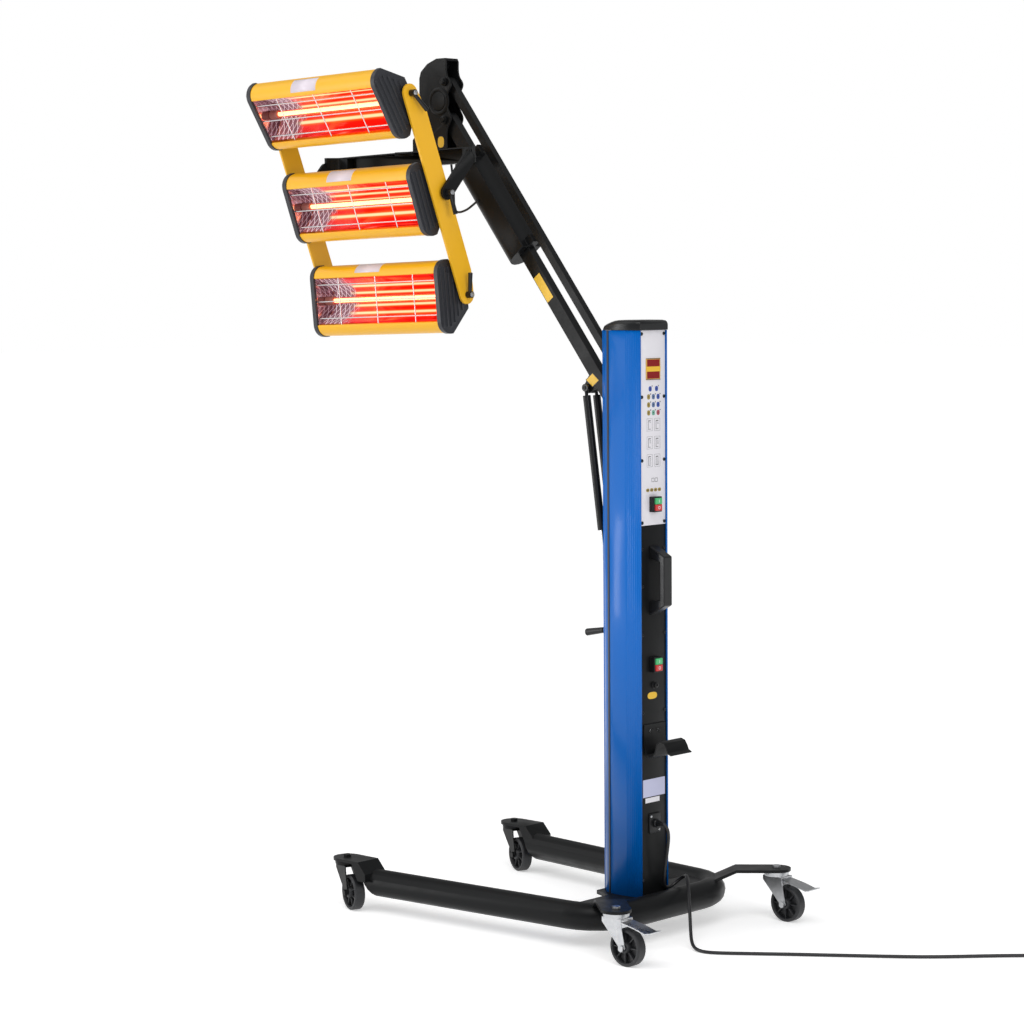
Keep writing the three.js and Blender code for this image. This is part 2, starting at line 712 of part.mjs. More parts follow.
function columnShell(side) {
  const outer = [...columnHalf(0), [column.front, COLUMN_SLOT_HALF], [column.rear, COLUMN_SLOT_HALF]];
  const inner = [...columnHalf(SHELL_WALL), [column.front - SHELL_WALL, 0], [column.rear - OVERRUN, 0],
    [column.rear - OVERRUN, COLUMN_REAR_HALF - SHELL_WALL]];
  const base = column.base;
  const blank = slabXY(outlineOf(outer), base, COLUMN_TOP_Z);
  const hollow = slabXY(outlineOf(inner), base - OVERRUN, COLUMN_TOP_Z + OVERRUN);
  const ledge = block([panelBack + CLEAR, PANEL_HALF - PANEL_LEDGE, base],
    [panelBack + CLEAR + SHELL_WALL, COLUMN_REAR_HALF, COLUMN_TOP_Z]);
  // Groove for the black trim strip round the side
  const [gx, gy] = columnHalf(0).at(-5);
  const [hx, hy] = columnHalf(0).at(-6);
  const along = Math.atan2(hy - gy, hx - gx);
  const groove = block([-GROOVE_WIDTH / 2, -GROOVE_DEPTH, base - OVERRUN],
    [GROOVE_WIDTH / 2, GROOVE_DEPTH, COLUMN_TOP_Z + OVERRUN]);
  groove.rotateZ(along).translate((gx + hx) / 2, (gy + hy) / 2, 0);
  const shell = cut(join(cut(blank, hollow), ledge), groove);
  return side > 0 ? shell : mirrorY(shell);
}

// Mirror image across the plane Y = 0, with its faces turned back out
function mirrorY(geometry) {
  const mirrored = geometry.clone().scale(1, -1, 1);
  const index = mirrored.index.array;
  for (let i = 0; i < index.length; i += 3) {
    [index[i], index[i + 1]] = [index[i + 1], index[i]];
  }
  return mirrored;
}

lamp.add(piece('column_shell_left', columnShell(1), BLUE_PAINT));
lamp.add(piece('column_shell_right', columnShell(-1), BLUE_PAINT));

// Each level of the cap: its share of the rise, and the shares by which it draws in at the front,
// at the sides and at the rear
const CAP_LEVEL_SHARES = [
  [0, 0, 0, 0], [0.4, 0.06, 0, 0], [0.6, 0.17, 0, 0], [0.8, 0.33, 0.03, 0.02], [0.93, 0.48, 0.08, 0.06],
  [1, 0.75, 0.17, 0.14],
];

function columnCap() {
  const left = columnHalf(-CAP_OVERHANG);
  const outline = [...left, ...left.map(([x, y]) => [x, -y]).reverse()];
  const base = COLUMN_TOP_Z + CLEAR;
  const points = [];
  for (const [riseShare, frontShare, sideShare, rearShare] of CAP_LEVEL_SHARES) {
    for (const [x, y] of outline) {
      const forward = Math.max(x / column.front, 0);
      const alongShare = x > 0 ? frontShare : rearShare;
      const acrossShare = sideShare + (frontShare - sideShare) * forward;
      points.push([x * (1 - alongShare), y * (1 - acrossShare), base + CAP_RISE * riseShare]);
    }
  }
  const count = outline.length;
  const index = [];
  for (let level = 0; level < CAP_LEVEL_SHARES.length - 1; level += 1) {
    for (let i = 0; i < count; i += 1) {
      const a = level * count + i;
      const b = level * count + ((i + 1) % count);
      index.push(a, a + count, b, b, a + count, b + count);
    }
  }
  const top = (CAP_LEVEL_SHARES.length - 1) * count;
  for (let i = 1; i < count - 1; i += 1) {
    index.push(0, i, i + 1);
    index.push(top, top + i + 1, top + i);
  }
  const dome = new THREE.BufferGeometry();
  dome.setAttribute('position', new THREE.BufferAttribute(new Float32Array(points.flat()), 3));
  dome.setIndex(index);
  const skirtTop = base + CAP_EDGE;
  const spigotHalf = COLUMN_HALF_WIDTH - SHELL_WALL - CLEAR * 4;
  const spigot = block([SPINE_BACK_X, SPINE_HALF + CLEAR * 4, base - CAP_LIP],
    [SPINE_FRONT_X * SPIGOT_FRONT_SHARE, spigotHalf * SPIGOT_SIDE_SHARE, skirtTop]);
  return join(dome, spigot, mirrorY(spigot));
}

lamp.add(piece('column_cap', columnCap(), BLACK_PLASTIC));

// Steel channel inside the column, with the pins that carry the arm, tie bar and gas springs
const spineTop = COLUMN_TOP_Z - CAP_EDGE;
function columnSpine() {
  const inner = SPINE_HALF - SPINE_WALL;
  const channel = cut(
    block([SPINE_BACK_X, -SPINE_HALF, column.base], [SPINE_FRONT_X, SPINE_HALF, spineTop]),
    block([SPINE_BACK_X + SPINE_WALL, -inner, column.base - OVERRUN],
      [SPINE_FRONT_X + OVERRUN, inner, spineTop + OVERRUN]));
  const across = inner + SPINE_WALL / 2;
  const pins = [
    bar([ARM_PIN_X, -across, ARM_PIN_Z], [ARM_PIN_X, across, ARM_PIN_Z], PIN_RADIUS, ROUND),
    bar([ARM_PIN_X, -across, ARM_PIN_Z + LINK_HEIGHT], [ARM_PIN_X, across, ARM_PIN_Z + LINK_HEIGHT],
      PIN_RADIUS, ROUND),
  ];
  const studEnd = SPRING_OFFSET + EYE_T / 2 + CLEAR * 2;
  for (const side of [1, -1]) {
    pins.push(bar([SPRING_FOOT_X, side * studEnd, SPRING_FOOT_Z],
      [SPRING_FOOT_X, side * across, SPRING_FOOT_Z], ROD_RADIUS, COARSE));
    const cheek = [side * LOCK_POST_HALF, side * (LOCK_POST_HALF - LOCK_CHEEK_T)].sort((a, b) => a - b);
    pins.push(block([LOCK_POST_X - OVERRUN, cheek[0], LOCK_Z - LOCK_POST_HEIGHT / 2],
      [LOCK_X + LOCK_CHEEK_T, cheek[1], LOCK_Z + LOCK_POST_HEIGHT / 2]));
  }
  pins.push(block([SPINE_BACK_X + SPINE_WALL / 2, -LOCK_POST_HALF, LOCK_Z - LOCK_POST_HEIGHT / 2],
    [LOCK_POST_X, LOCK_POST_HALF, LOCK_Z + LOCK_POST_HEIGHT / 2]));
  pins.push(bar([LOCK_X, -LOCK_POST_HALF + OVERRUN, LOCK_Z], [LOCK_X, LOCK_POST_HALF - OVERRUN, LOCK_Z],
    LOCK_PIN_RADIUS, ROUND));
  return join(channel, ...pins);
}

lamp.add(piece('column_spine', columnSpine(), BLACK_POWDER));

// Panels on the rear face
function controlPanel() {
  const plate = block([PANEL_X, -PANEL_HALF, PANEL_SPLIT_Z + CLEAR], [panelBack, PANEL_HALF, COLUMN_TOP_Z]);
  const display = block([PANEL_X - DISPLAY_RISE, -DISPLAY_WIDTH / 2, DISPLAY_Z - DISPLAY_HEIGHT / 2],
    [PANEL_X + PANEL_T / 2, DISPLAY_WIDTH / 2, DISPLAY_Z + DISPLAY_HEIGHT / 2]);
  return join(plate, display);
}

lamp.add(piece('control_panel', controlPanel(), WHITE_PLASTIC));
lamp.add(piece('lower_panel', block([PANEL_X, -PANEL_HALF, column.base],
  [panelBack, PANEL_HALF, PANEL_SPLIT_Z - CLEAR]), BLACK_POWDER));

// On/off switches: a box on the panel with a pocket for each push button
const switchFace = PANEL_X - SWITCH_DEPTH;
function switchHousing(z) {
  const body = block([switchFace, -SWITCH_WIDTH / 2, z - SWITCH_HEIGHT / 2],
    [PANEL_X - CLEAR, SWITCH_WIDTH / 2, z + SWITCH_HEIGHT / 2]);
  const pocket = block([switchFace - OVERRUN, -BUTTON_WIDTH / 2 - CLEAR, z - BUTTON_HEIGHT - CLEAR * 2],
    [switchFace + BUTTON_DEPTH - BUTTON_PROUD + BUTTON_TRAVEL + CLEAR, BUTTON_WIDTH / 2 + CLEAR,
      z + BUTTON_HEIGHT + CLEAR * 2]);
  return cut(body, pocket);
}

function switchButton(z, upper) {
  const low = upper ? z + CLEAR : z - BUTTON_HEIGHT - CLEAR;
  return block([switchFace - BUTTON_PROUD, -BUTTON_WIDTH / 2, low],
    [switchFace - BUTTON_PROUD + BUTTON_DEPTH, BUTTON_WIDTH / 2, low + BUTTON_HEIGHT]);
}

for (const [place, z] of [['upper', UPPER_SWITCH_Z], ['lower', LOWER_SWITCH_Z]]) {
  lamp.add(piece(`${place}_switch_housing`, switchHousing(z), BLACK_PLASTIC));
  lamp.add(piece(`${place}_on_button`, switchButton(z, true), GREEN));
  lamp.add(piece(`${place}_off_button`, switchButton(z, false), RED));
}

lamp.add(piece('fuse_cap', join(
  bar([PANEL_X - CLEAR, 0, FUSE_Z], [PANEL_X - CLEAR - FUSE_LENGTH / 3, 0, FUSE_Z], FUSE_RADIUS, ROUND),
  bar([PANEL_X - CLEAR, 0, FUSE_Z], [PANEL_X - FUSE_LENGTH, 0, FUSE_Z], FUSE_RADIUS * FUSE_TOP_SHARE, ROUND),
), BLACK_PLASTIC));

function carryHandle() {
  const half = HANDLE_LENGTH / 2;
  const root = PANEL_X - CLEAR;
  const outer = root - HANDLE_REACH;
  const slope = HANDLE_FOOT * HANDLE_SLOPE_SHARE;
  const ring1 = outlineOf([
    [root, -half], [outer, -half + slope], [outer, half - slope], [root, half],
  ]);
  const gap = new THREE.Path([
    [root + OVERRUN, -half + HANDLE_FOOT], [root + OVERRUN, half - HANDLE_FOOT],
    [outer + HANDLE_GRIP_T, half - HANDLE_FOOT - slope * HANDLE_ROUND_SHARE],
    [outer + HANDLE_GRIP_T, -half + HANDLE_FOOT + slope * HANDLE_ROUND_SHARE],
  ].map(([x, z]) => new THREE.Vector2(x, z)));
  const body = slabXZ(ring1, -HANDLE_WIDTH / 2, HANDLE_WIDTH / 2);
  const opening = slabXZ(new THREE.Shape(gap.getPoints()), -HANDLE_WIDTH, HANDLE_WIDTH);
  return cut(body, opening).translate(0, 0, HANDLE_Z);
}

lamp.add(piece('carry_handle', carryHandle(), BLACK_PLASTIC));

function cordHook() {
  // A strip that follows one smooth wave, screwed to the panel by its upright end
  const wave = new THREE.SplineCurve([
    [PANEL_X - CLEAR - HOOK_T / 2, HOOK_TOP_Z], [PANEL_X - CLEAR - HOOK_T / 2, HOOK_SCREW_Z - HOOK_T * 4],
    [PANEL_X - HOOK_TROUGH_OUT * HOOK_BEND_SHARE, HOOK_TROUGH_Z + HOOK_T * 4],
    [PANEL_X - HOOK_TROUGH_OUT, HOOK_TROUGH_Z],
    [PANEL_X - HOOK_TROUGH_OUT * 2, HOOK_TROUGH_Z + HOOK_T * 3],
    [PANEL_X - HOOK_HUMP_OUT * HOOK_RISE_SHARE, HOOK_HUMP_Z - HOOK_T * 1.5],
    [PANEL_X - HOOK_HUMP_OUT, HOOK_HUMP_Z],
    [PANEL_X - HOOK_HUMP_OUT * HOOK_FALL_SHARE, HOOK_HUMP_Z - HOOK_T * 2],
    [PANEL_X - HOOK_TIP_OUT * HOOK_LIP_SHARE, HOOK_TIP_Z + HOOK_T],
    [PANEL_X - HOOK_TIP_OUT, HOOK_TIP_Z],
  ].map(([x, z]) => new THREE.Vector2(x, z)));
  const steps = ROUND;
  const one = [];
  const other = [];
  for (let i = 0; i <= steps; i += 1) {
    const p = wave.getPointAt(i / steps);
    const t = wave.getTangentAt(i / steps);
    one.push([p.x - (t.y * HOOK_T) / 2, p.y + (t.x * HOOK_T) / 2]);
    other.push([p.x + (t.y * HOOK_T) / 2, p.y - (t.x * HOOK_T) / 2]);
  }
  const wallX = PANEL_X - CLEAR;
  const clip = ([x, z]) => [Math.min(x, wallX), z];
  const strip = slabXZ(outlineOf([...one, ...other.reverse()].map(clip)), -HOOK_WIDTH / 2, HOOK_WIDTH / 2);
  const screws = [1, -1].map((side) => bar(
    [wallX - HOOK_T / 2, (side * HOOK_SCREW_SPACING) / 2, HOOK_SCREW_Z],
    [wallX - HOOK_T * 2, (side * HOOK_SCREW_SPACING) / 2, HOOK_SCREW_Z], HOOK_SCREW_RADIUS, COARSE));
  return join(strip, ...screws);
}

lamp.add(piece('cord_hook', cordHook(), BLACK_POWDER));

// Power inlet with its strain relief
const cordExitX = PANEL_X - CLEAR - GLAND_LENGTH - INLET_FLANGE_T;
function powerInlet() {
  const wallX = PANEL_X - CLEAR;
  return join(
    block([wallX - INLET_FLANGE_T, -INLET_WIDTH / 2, INLET_Z - INLET_HEIGHT / 2],
      [wallX, INLET_WIDTH / 2, INLET_Z + INLET_HEIGHT / 2]),
    bar([wallX - INLET_FLANGE_T / 2, 0, INLET_Z], [cordExitX, 0, INLET_Z], GLAND_RADIUS, ROUND,
      GLAND_RADIUS * GLAND_TAPER_SHARE));
}

lamp.add(piece('power_inlet', powerInlet(), BLACK_PLASTIC));

// Mains cord: out of the strain relief, down behind the column, over the cross tube and away
// along the floor to the put-away coil
const CORD_ROUTE = [
  [-82.5, -0.7, 221.5], [-86, -1.7, 216.5], [-88.5, -3, 208], [-88.5, -4, 194],
  [-86, -4.5, 176], [-82.5, -5, 158], [-79, -5.5, 140], [-75.5, -6.5, 122], [-71, -10, 106],
  [-66.5, -17, 94.5], [-63.5, -29, 88], [-64, -41, 88.5], [-68, -51, 95], [-76, -57, 103.5],
  [-87, -57, 110], [-99, -48, 112.5], [-111, -36.5, 110.5], [-123, -24, 104], [-136, -10, 93],
  [-149, 4, 78.5], [-162, 18, 61], [-175, 32, 42.5], [-188, 46, 26], [-201, 59, 14],
  [-216, 70, 7], [-234, 77, 4.2], [-254, 76, 3.6], [-273, 67, 3.6], [-292, 54, 3.6],
  [-315, 36.5, 3.6], [-340, 17.5, 3.6], [-366, -2.5, 3.6], [-393, -23, 3.6], [-420, -43, 3.6],
  [-447, -63, 3.6], [-474, -83, 3.6], [-501, -103, 3.6], [-528, -123, 3.6], [-555, -143.5, 3.6],
  [-582, -165, 3.6], [-608, -188, 3.6], [-633, -212, 3.6], [-657, -237, 3.6], [-680, -261, 3.6],
  [-703, -284, 3.6], [-726, -306, 3.6], [-749, -328, 3.6],
];
const cordRadius = CORD_DIAMETER / 2;
const coilOuterRadius = COIL_INNER_RADIUS + COIL_PITCH * (COIL_TURNS / 2);
const floorLine = cordRadius + CLEAR / 3;

// Coil: half of the turns spiral in on the floor, the others spiral out on top of them
function coilPoints() {
  const layerTurns = COIL_TURNS / 2;
  const start = COIL_START_ANGLE * DEG;
  const points = [];
  const layers = [
    [coilOuterRadius, COIL_INNER_RADIUS, floorLine],
    [COIL_INNER_RADIUS, coilOuterRadius, floorLine + COIL_PITCH],
  ];
  const count = COIL_TURNS * COIL_STEPS;
  for (let i = 0; i <= count; i += 1) {
    const turns = i / COIL_STEPS;
    const share = turns / layerTurns;
    const spiral = share <= 1 ? 1 - share : share - 1;
    const radius = COIL_INNER_RADIUS + (coilOuterRadius - COIL_INNER_RADIUS) * spiral;
    const climb = THREE.MathUtils.smoothstep(turns, layerTurns - COIL_CLIMB_TURNS,
      layerTurns + COIL_CLIMB_TURNS);
    const angle = start + turns * Math.PI * 2;
    points.push(new THREE.Vector3(COIL_X + radius * Math.cos(angle), COIL_Y + radius * Math.sin(angle),
      layers[0][2] + climb * COIL_PITCH));
  }
  const leadLength = CORD_DIAMETER * CORD_LEAD_SHARE;
  const lead = (at, next) => at.clone().add(at.clone().sub(next).setZ(0).setLength(leadLength));
  points.unshift(lead(points[0], points[1]));
  const last = points.at(-1);
  const onward = last.clone().sub(points.at(-2)).setZ(0).normalize();
  const rise = PLUG_RADIUS + CLEAR - last.z;
  for (const share of [0.3, 0.6, 0.85, 1]) {
    const lift = THREE.MathUtils.smoothstep(share, 0, 0.85) * rise;
    points.push(last.clone().addScaledVector(onward, COIL_TAIL * share).setZ(last.z + lift));
  }
  return points;
}

const coil = coilPoints();
const coilStart = coil[0];
const coilAim = coil[1].clone().sub(coil[0]).normalize();
const freeRun = CORD_ROUTE.map((p) => new THREE.Vector3(...p));
freeRun.unshift(new THREE.Vector3(cordExitX - CLEAR - cordRadius, 0, INLET_Z));
freeRun.unshift(new THREE.Vector3(cordExitX - CLEAR, 0, INLET_Z));
freeRun.push(coilStart.clone().addScaledVector(coilAim, -CORD_DIAMETER * CORD_LEAD_SHARE * 2));
freeRun.push(coilStart.clone().addScaledVector(coilAim, -CORD_DIAMETER * CORD_LEAD_SHARE));
freeRun.push(coilStart.clone().addScaledVector(coilAim, -CLEAR));
const cordMesh = piece('mains_cord', pipe(freeRun, cordRadius, CORD_SIDES), RUBBER);
const coilMesh = piece('mains_cord_coil', pipe(coil, cordRadius, COIL_SIDES), RUBBER);

// The least gap of the coil to itself, between points of its centre line half a turn or more apart
function leastCoilGap() {
  const fine = new THREE.CatmullRomCurve3(coil).getPoints(coil.length * 4);
  const apart = COIL_STEPS * 2;
  let least = Infinity;
  for (let i = 0; i < fine.length; i += 1) {
    for (let j = i + apart; j < fine.length; j += 1) {
      least = Math.min(least, fine[i].distanceTo(fine[j]));
    }
  }
  return least - CORD_DIAMETER;
}
console.log(`least gap of the coil to itself: ${leastCoilGap().toFixed(2)} mm`);

function mainsPlug() {
  // Lathed body about the cord's line, with two contact pins
  const profile = [
    [0, 0], [cordRadius * PLUG_GUARD_SHARE, 0], [cordRadius * 2, PLUG_NECK],
    [PLUG_RADIUS * PLUG_SHOULDER_SHARE, PLUG_NECK * PLUG_GUARD_SHARE],
    [PLUG_RADIUS, PLUG_NECK * 2], [PLUG_RADIUS, PLUG_LENGTH + PLUG_NECK], [0, PLUG_LENGTH + PLUG_NECK],
  ].map(([r, y]) => new THREE.Vector2(r, y));
  const body = new THREE.LatheGeometry(profile, ROUND);
  const front = PLUG_LENGTH + PLUG_NECK;
  const pins = [1, -1].map((side) => bar([(side * PLUG_PIN_SPACING) / 2, front - OVERRUN, 0],
    [(side * PLUG_PIN_SPACING) / 2, front + PLUG_PIN_LENGTH, 0], PLUG_PIN_RADIUS, COARSE));
  return join(body, ...pins);
}

const coilEnd = coil.at(-1);
const plugAim = coilEnd.clone().sub(coil.at(-2)).setZ(0).normalize();
const plug = piece('mains_plug', mainsPlug(), RUBBER);
plug.position.copy(coilEnd).addScaledVector(plugAim, CLEAR);
plug.rotation.z = Math.atan2(-plugAim.x, plugAim.y);

// Arm group: X runs along the arm from its pin in the column, Z is square to it
const arm = groupAt(ARM_PIN_X, 0, ARM_PIN_Z);
arm.rotation.y = -ARM_ANGLE * DEG;
lamp.add(arm);

function hollowBeam(length, end, depth, width, wall, sides) {
  const outer = slabXZ(stadiumBeam(length, end, depth), -width / 2, width / 2);
  const bore = block([end, -width / 2 + wall, -depth / 2 + wall],
    [length - end, width / 2 - wall, depth / 2 - wall]);
  const mouth = block([length / 2, -width, -depth / 2 + wall], [length / 2 + wall * 4, 0, 0]);
  const holes = [0, length].map((x) => bar([x, -width, 0], [x, width, 0], sides, ROUND));
  return cut(outer, bore, mouth, ...holes);
}

// Side outline of a beam whose ends are rounded past the pins
function stadiumBeam(length, end, depth) {
  const half = depth / 2;
  const bulge = Math.min(end, half);
  const outline = new THREE.Shape();
  outline.absarc(length + end - bulge, 0, half, -Math.PI / 2, Math.PI / 2, false);
  outline.absarc(-end + bulge, 0, half, Math.PI / 2, Math.PI * 1.5, false);
  outline.closePath();
  return outline;
}

function mainArm() {
  const beam = hollowBeam(ARM_LENGTH, ARM_END, ARM_DEPTH, ARM_WIDTH, ARM_WALL, PIN_RADIUS + CLEAR);
  const foot = LUG_RADIUS * LUG_FOOT_SHARE;
  const lug = slabXZ(outlineOf([
    [LUG_ALONG - foot, -ARM_DEPTH / 2 + ARM_WALL], [LUG_ALONG - LUG_RADIUS, -LUG_BELOW],
    [LUG_ALONG + LUG_RADIUS, -LUG_BELOW], [LUG_ALONG + foot, -ARM_DEPTH / 2 + ARM_WALL],
  ]), -LUG_WIDTH / 2, LUG_WIDTH / 2);
  const end = bar([LUG_ALONG, -LUG_WIDTH / 2, -LUG_BELOW], [LUG_ALONG, LUG_WIDTH / 2, -LUG_BELOW],
    LUG_RADIUS, ROUND);
  const reach = SPRING_OFFSET + EYE_T / 2 + CLEAR * 4;
  const pin = bar([LUG_ALONG, -reach, -LUG_BELOW], [LUG_ALONG, reach, -LUG_BELOW], LUG_PIN_RADIUS, ROUND);
  return join(beam, lug, end, pin);
}

arm.add(piece('main_arm', mainArm(), BLACK_POWDER));

function armCover() {
  // D-shaped sleeve round the arm, closed by a collar at each end
  const inner = ARM_WIDTH / 2 + CLEAR;
  const topZ = ARM_DEPTH / 2 + COVER_WALL + CLEAR;
  const bottomZ = -ARM_DEPTH / 2 - COVER_DROP;
  const turnZ = bottomZ + COVER_HALF;
  const section = new THREE.Shape();
  section.moveTo(COVER_HALF, topZ);
  section.lineTo(-COVER_HALF, topZ);
  section.absarc(0, turnZ, COVER_HALF, Math.PI, Math.PI * 2, false);
  section.closePath();
  const body = slabYZ(section, COVER_START, COVER_END);
  const raised = [COVER_START, COVER_END - COLLAR_LENGTH].map((x) => (
    block([x, -inner, 0], [x + COLLAR_LENGTH, inner, topZ + COLLAR_RISE])));
  const passage = block([COVER_START - OVERRUN, -inner, -ARM_DEPTH / 2 - CLEAR],
    [COVER_END + OVERRUN, inner, ARM_DEPTH / 2 + CLEAR]);
  const cavity = new THREE.Shape();
  const wallHalf = COVER_HALF - COVER_WALL;
  cavity.moveTo(wallHalf, topZ - COVER_WALL);
  cavity.lineTo(-wallHalf, topZ - COVER_WALL);
  cavity.absarc(0, turnZ, wallHalf, Math.PI, Math.PI * 2, false);
  cavity.closePath();
  const inside = slabYZ(cavity, COVER_START + COLLAR_LENGTH, COVER_END - COLLAR_LENGTH);
  return cut(join(body, ...raised), passage, inside);
}

arm.add(piece('arm_cover', armCover(), BLACK_POWDER));

// Tie bar, parallel to the arm
const tie = groupAt(ARM_PIN_X, 0, ARM_PIN_Z + LINK_HEIGHT);
tie.rotation.y = -ARM_ANGLE * DEG;
tie.add(piece('tie_bar', hollowBeam(ARM_LENGTH, TIE_END, TIE_DEPTH, TIE_WIDTH, ARM_WALL,
  PIN_RADIUS + CLEAR), BLACK_POWDER));
lamp.add(tie);

// Gas springs hang from the lug; their frame's X runs down to the pins in the column
const lugX = LUG_ALONG * Math.cos(ARM_ANGLE * DEG) + LUG_BELOW * Math.sin(ARM_ANGLE * DEG);
const lugZ = ARM_PIN_Z + LUG_ALONG * Math.sin(ARM_ANGLE * DEG) - LUG_BELOW * Math.cos(ARM_ANGLE * DEG);
const springDrop = Math.hypot(lugX - SPRING_FOOT_X, lugZ - SPRING_FOOT_Z);
const springTurn = Math.atan2(lugZ - SPRING_FOOT_Z, SPRING_FOOT_X - lugX);
const springs = groupAt(LUG_ALONG, 0, -LUG_BELOW);
springs.rotation.y = springTurn + ARM_ANGLE * DEG;
arm.add(springs);

function gasCylinder(y) {
  const eye = cut(bar([0, y - EYE_T / 2, 0], [0, y + EYE_T / 2, 0], EYE_RADIUS, ROUND),
    bar([0, y - EYE_T, 0], [0, y + EYE_T, 0], LUG_PIN_RADIUS + CLEAR, ROUND));
  const neck = bar([EYE_RADIUS - OVERRUN / 2, y, 0], [CYLINDER_START + OVERRUN, y, 0], EYE_T / 2, COARSE);
  const body = cut(bar([CYLINDER_START, y, 0], [CYLINDER_END, y, 0], CYLINDER_RADIUS, ROUND),
    bar([CYLINDER_END - CYLINDER_BORE_DEPTH, y, 0], [CYLINDER_END + OVERRUN, y, 0], CYLINDER_BORE, COARSE));
  return join(eye, neck, body);
}

function gasRod(y) {
  const eye = bar([springDrop, y - EYE_T / 2, 0], [springDrop, y + EYE_T / 2, 0], EYE_RADIUS, ROUND);
  return join(eye, bar([CYLINDER_END - ROD_OVERLAP, y, 0], [springDrop, y, 0], ROD_RADIUS, COARSE));
}

for (const [place, y] of [['left', SPRING_OFFSET], ['right', -SPRING_OFFSET]]) {
  springs.add(piece(`gas_cylinder_${place}`, gasCylinder(y), BLACK_PLASTIC));
  springs.add(piece(`gas_rod_${place}`, gasRod(y), ZINC));
}

// Arm lock lever, pivoted in the column's front slot
const lock = groupAt(LOCK_X, 0, LOCK_Z);
lock.rotation.y = LOCK_DROOP * DEG;
const lockEyeHalf = LOCK_POST_HALF - LOCK_CHEEK_T - CLEAR;
lock.add(piece('arm_lock_lever', cut(join(
  bar([0, -lockEyeHalf, 0], [0, lockEyeHalf, 0], LOCK_EYE_RADIUS, ROUND),
  bar([LOCK_EYE_RADIUS - OVERRUN, 0, 0], [LOCK_STEM_LENGTH + OVERRUN, 0, 0], LOCK_STEM_RADIUS, COARSE),
  bar([LOCK_STEM_LENGTH, 0, 0], [LOCK_STEM_LENGTH + LOCK_GRIP_LENGTH, 0, 0],
    LOCK_GRIP_RADIUS * LOCK_GRIP_TAPER_SHARE,
    ROUND, LOCK_GRIP_RADIUS),
), bar([0, -LOCK_POST_HALF, 0], [0, LOCK_POST_HALF, 0], LOCK_PIN_RADIUS + CLEAR, ROUND)), BLACK_PLASTIC));
lamp.add(lock);

// Head bracket: a pressed channel, open towards the arm, on the upper pins
const bracket = groupAt(ARM_LENGTH, 0, 0);
bracket.rotation.y = (ARM_ANGLE + BRACKET_LEAN) * DEG;
arm.add(bracket);

// Side outline as shares: X of the reach from the rear edge to the front, Z of the height
const BRACKET_SIDE_SHARES = [
  [0.11, 0], [1, 0], [1, 0.14], [0.82, 0.24], [0.81, 0.8], [0.77, 0.87], [0.6, 0.95], [0.36, 1],
  [0.13, 1], [0.105, 0.97], [0.105, 0.87], [0.075, 0.8], [0.01, 0.75], [-0.01, 0.71], [0.03, 0.66],
  [0.09, 0.61], [0.11, 0.55], [0.095, 0.48], [0.04, 0.42], [0, 0.375], [0, 0.335], [0.035, 0.29],
  [0.085, 0.24], [0.11, 0.14],
];
// Far upper corner of each room inside the bracket, as shares in the same way
const BRACKET_ROOM_SHARES = [[1, 0.14], [0.81, 0.8], [0.6, 0.92], [0.36, 0.985]];

function headBracket() {
  const reach = BRACKET_REAR + BRACKET_FRONT;
  const height = BRACKET_TOP + BRACKET_BOTTOM;
  const side = BRACKET_SIDE_SHARES.map(([dx, dz]) => [
    dx * reach - BRACKET_REAR, dz * height - BRACKET_BOTTOM]);
  const body = slabXZ(outlineOf(side), -BRACKET_HALF, BRACKET_HALF);
  const inner = BRACKET_HALF - BRACKET_WALL;
  const floor = -BRACKET_BOTTOM + BRACKET_WALL * 2;
  const rooms = BRACKET_ROOM_SHARES.map(([dx, dz]) => block([-BRACKET_REAR * 2, -inner, floor],
    [dx * reach - BRACKET_REAR - BRACKET_WALL, inner, dz * height - BRACKET_BOTTOM - BRACKET_WALL]));
  // Room for the arm and tie bar where they come up between the side plates
  const armRoom = block([-BRACKET_REAR * 3, -inner, -BRACKET_BOTTOM - OVERRUN],
    [ARM_DEPTH * ARM_ROOM_SHARE, inner, floor + OVERRUN]);
  const shell = cut(body, ...rooms, armRoom);
  const across = inner + BRACKET_WALL / 2;
  const pins = [0, LINK_HEIGHT].map((z) => bar([0, -across, z], [0, across, z], PIN_RADIUS, ROUND));
  const heads = [0, LINK_HEIGHT].flatMap((z) => [1, -1].map((s) => bar(
    [0, s * across, z], [0, s * (BRACKET_HALF + BRACKET_BOSS_RISE), z], PIN_RADIUS * PIN_HEAD_SHARE, 6)));
  const bossX = BRACKET_REAR;
  const bosses = [1, -1].map((s) => bar([bossX, s * across, LINK_HEIGHT / 2],
    [bossX, s * (BRACKET_HALF + BRACKET_BOSS_RISE * BOSS_RISE_SHARE), LINK_HEIGHT / 2],
    BRACKET_BOSS_RADIUS, ROUND,
    BRACKET_BOSS_RADIUS * BOSS_TOP_SHARE));
  // The upper pin stops at the side plates, so the tie bar swings clear between short studs
  const seat = bar([YAW_REACH, 0, floor - BRACKET_WALL], [YAW_REACH, 0, floor + BRACKET_WALL * 2],
    YAW_HEAD_RADIUS, ROUND);
  const yawHole = bar([YAW_REACH, 0, -BRACKET_BOTTOM - OVERRUN],
    [YAW_REACH, 0, floor + BRACKET_WALL * 4], YAW_PIN_RADIUS + CLEAR, ROUND);
  return cut(join(shell, ...pins, ...heads, ...bosses, seat), yawHole);
}

bracket.add(piece('head_bracket', headBracket(), BLACK_POWDER));

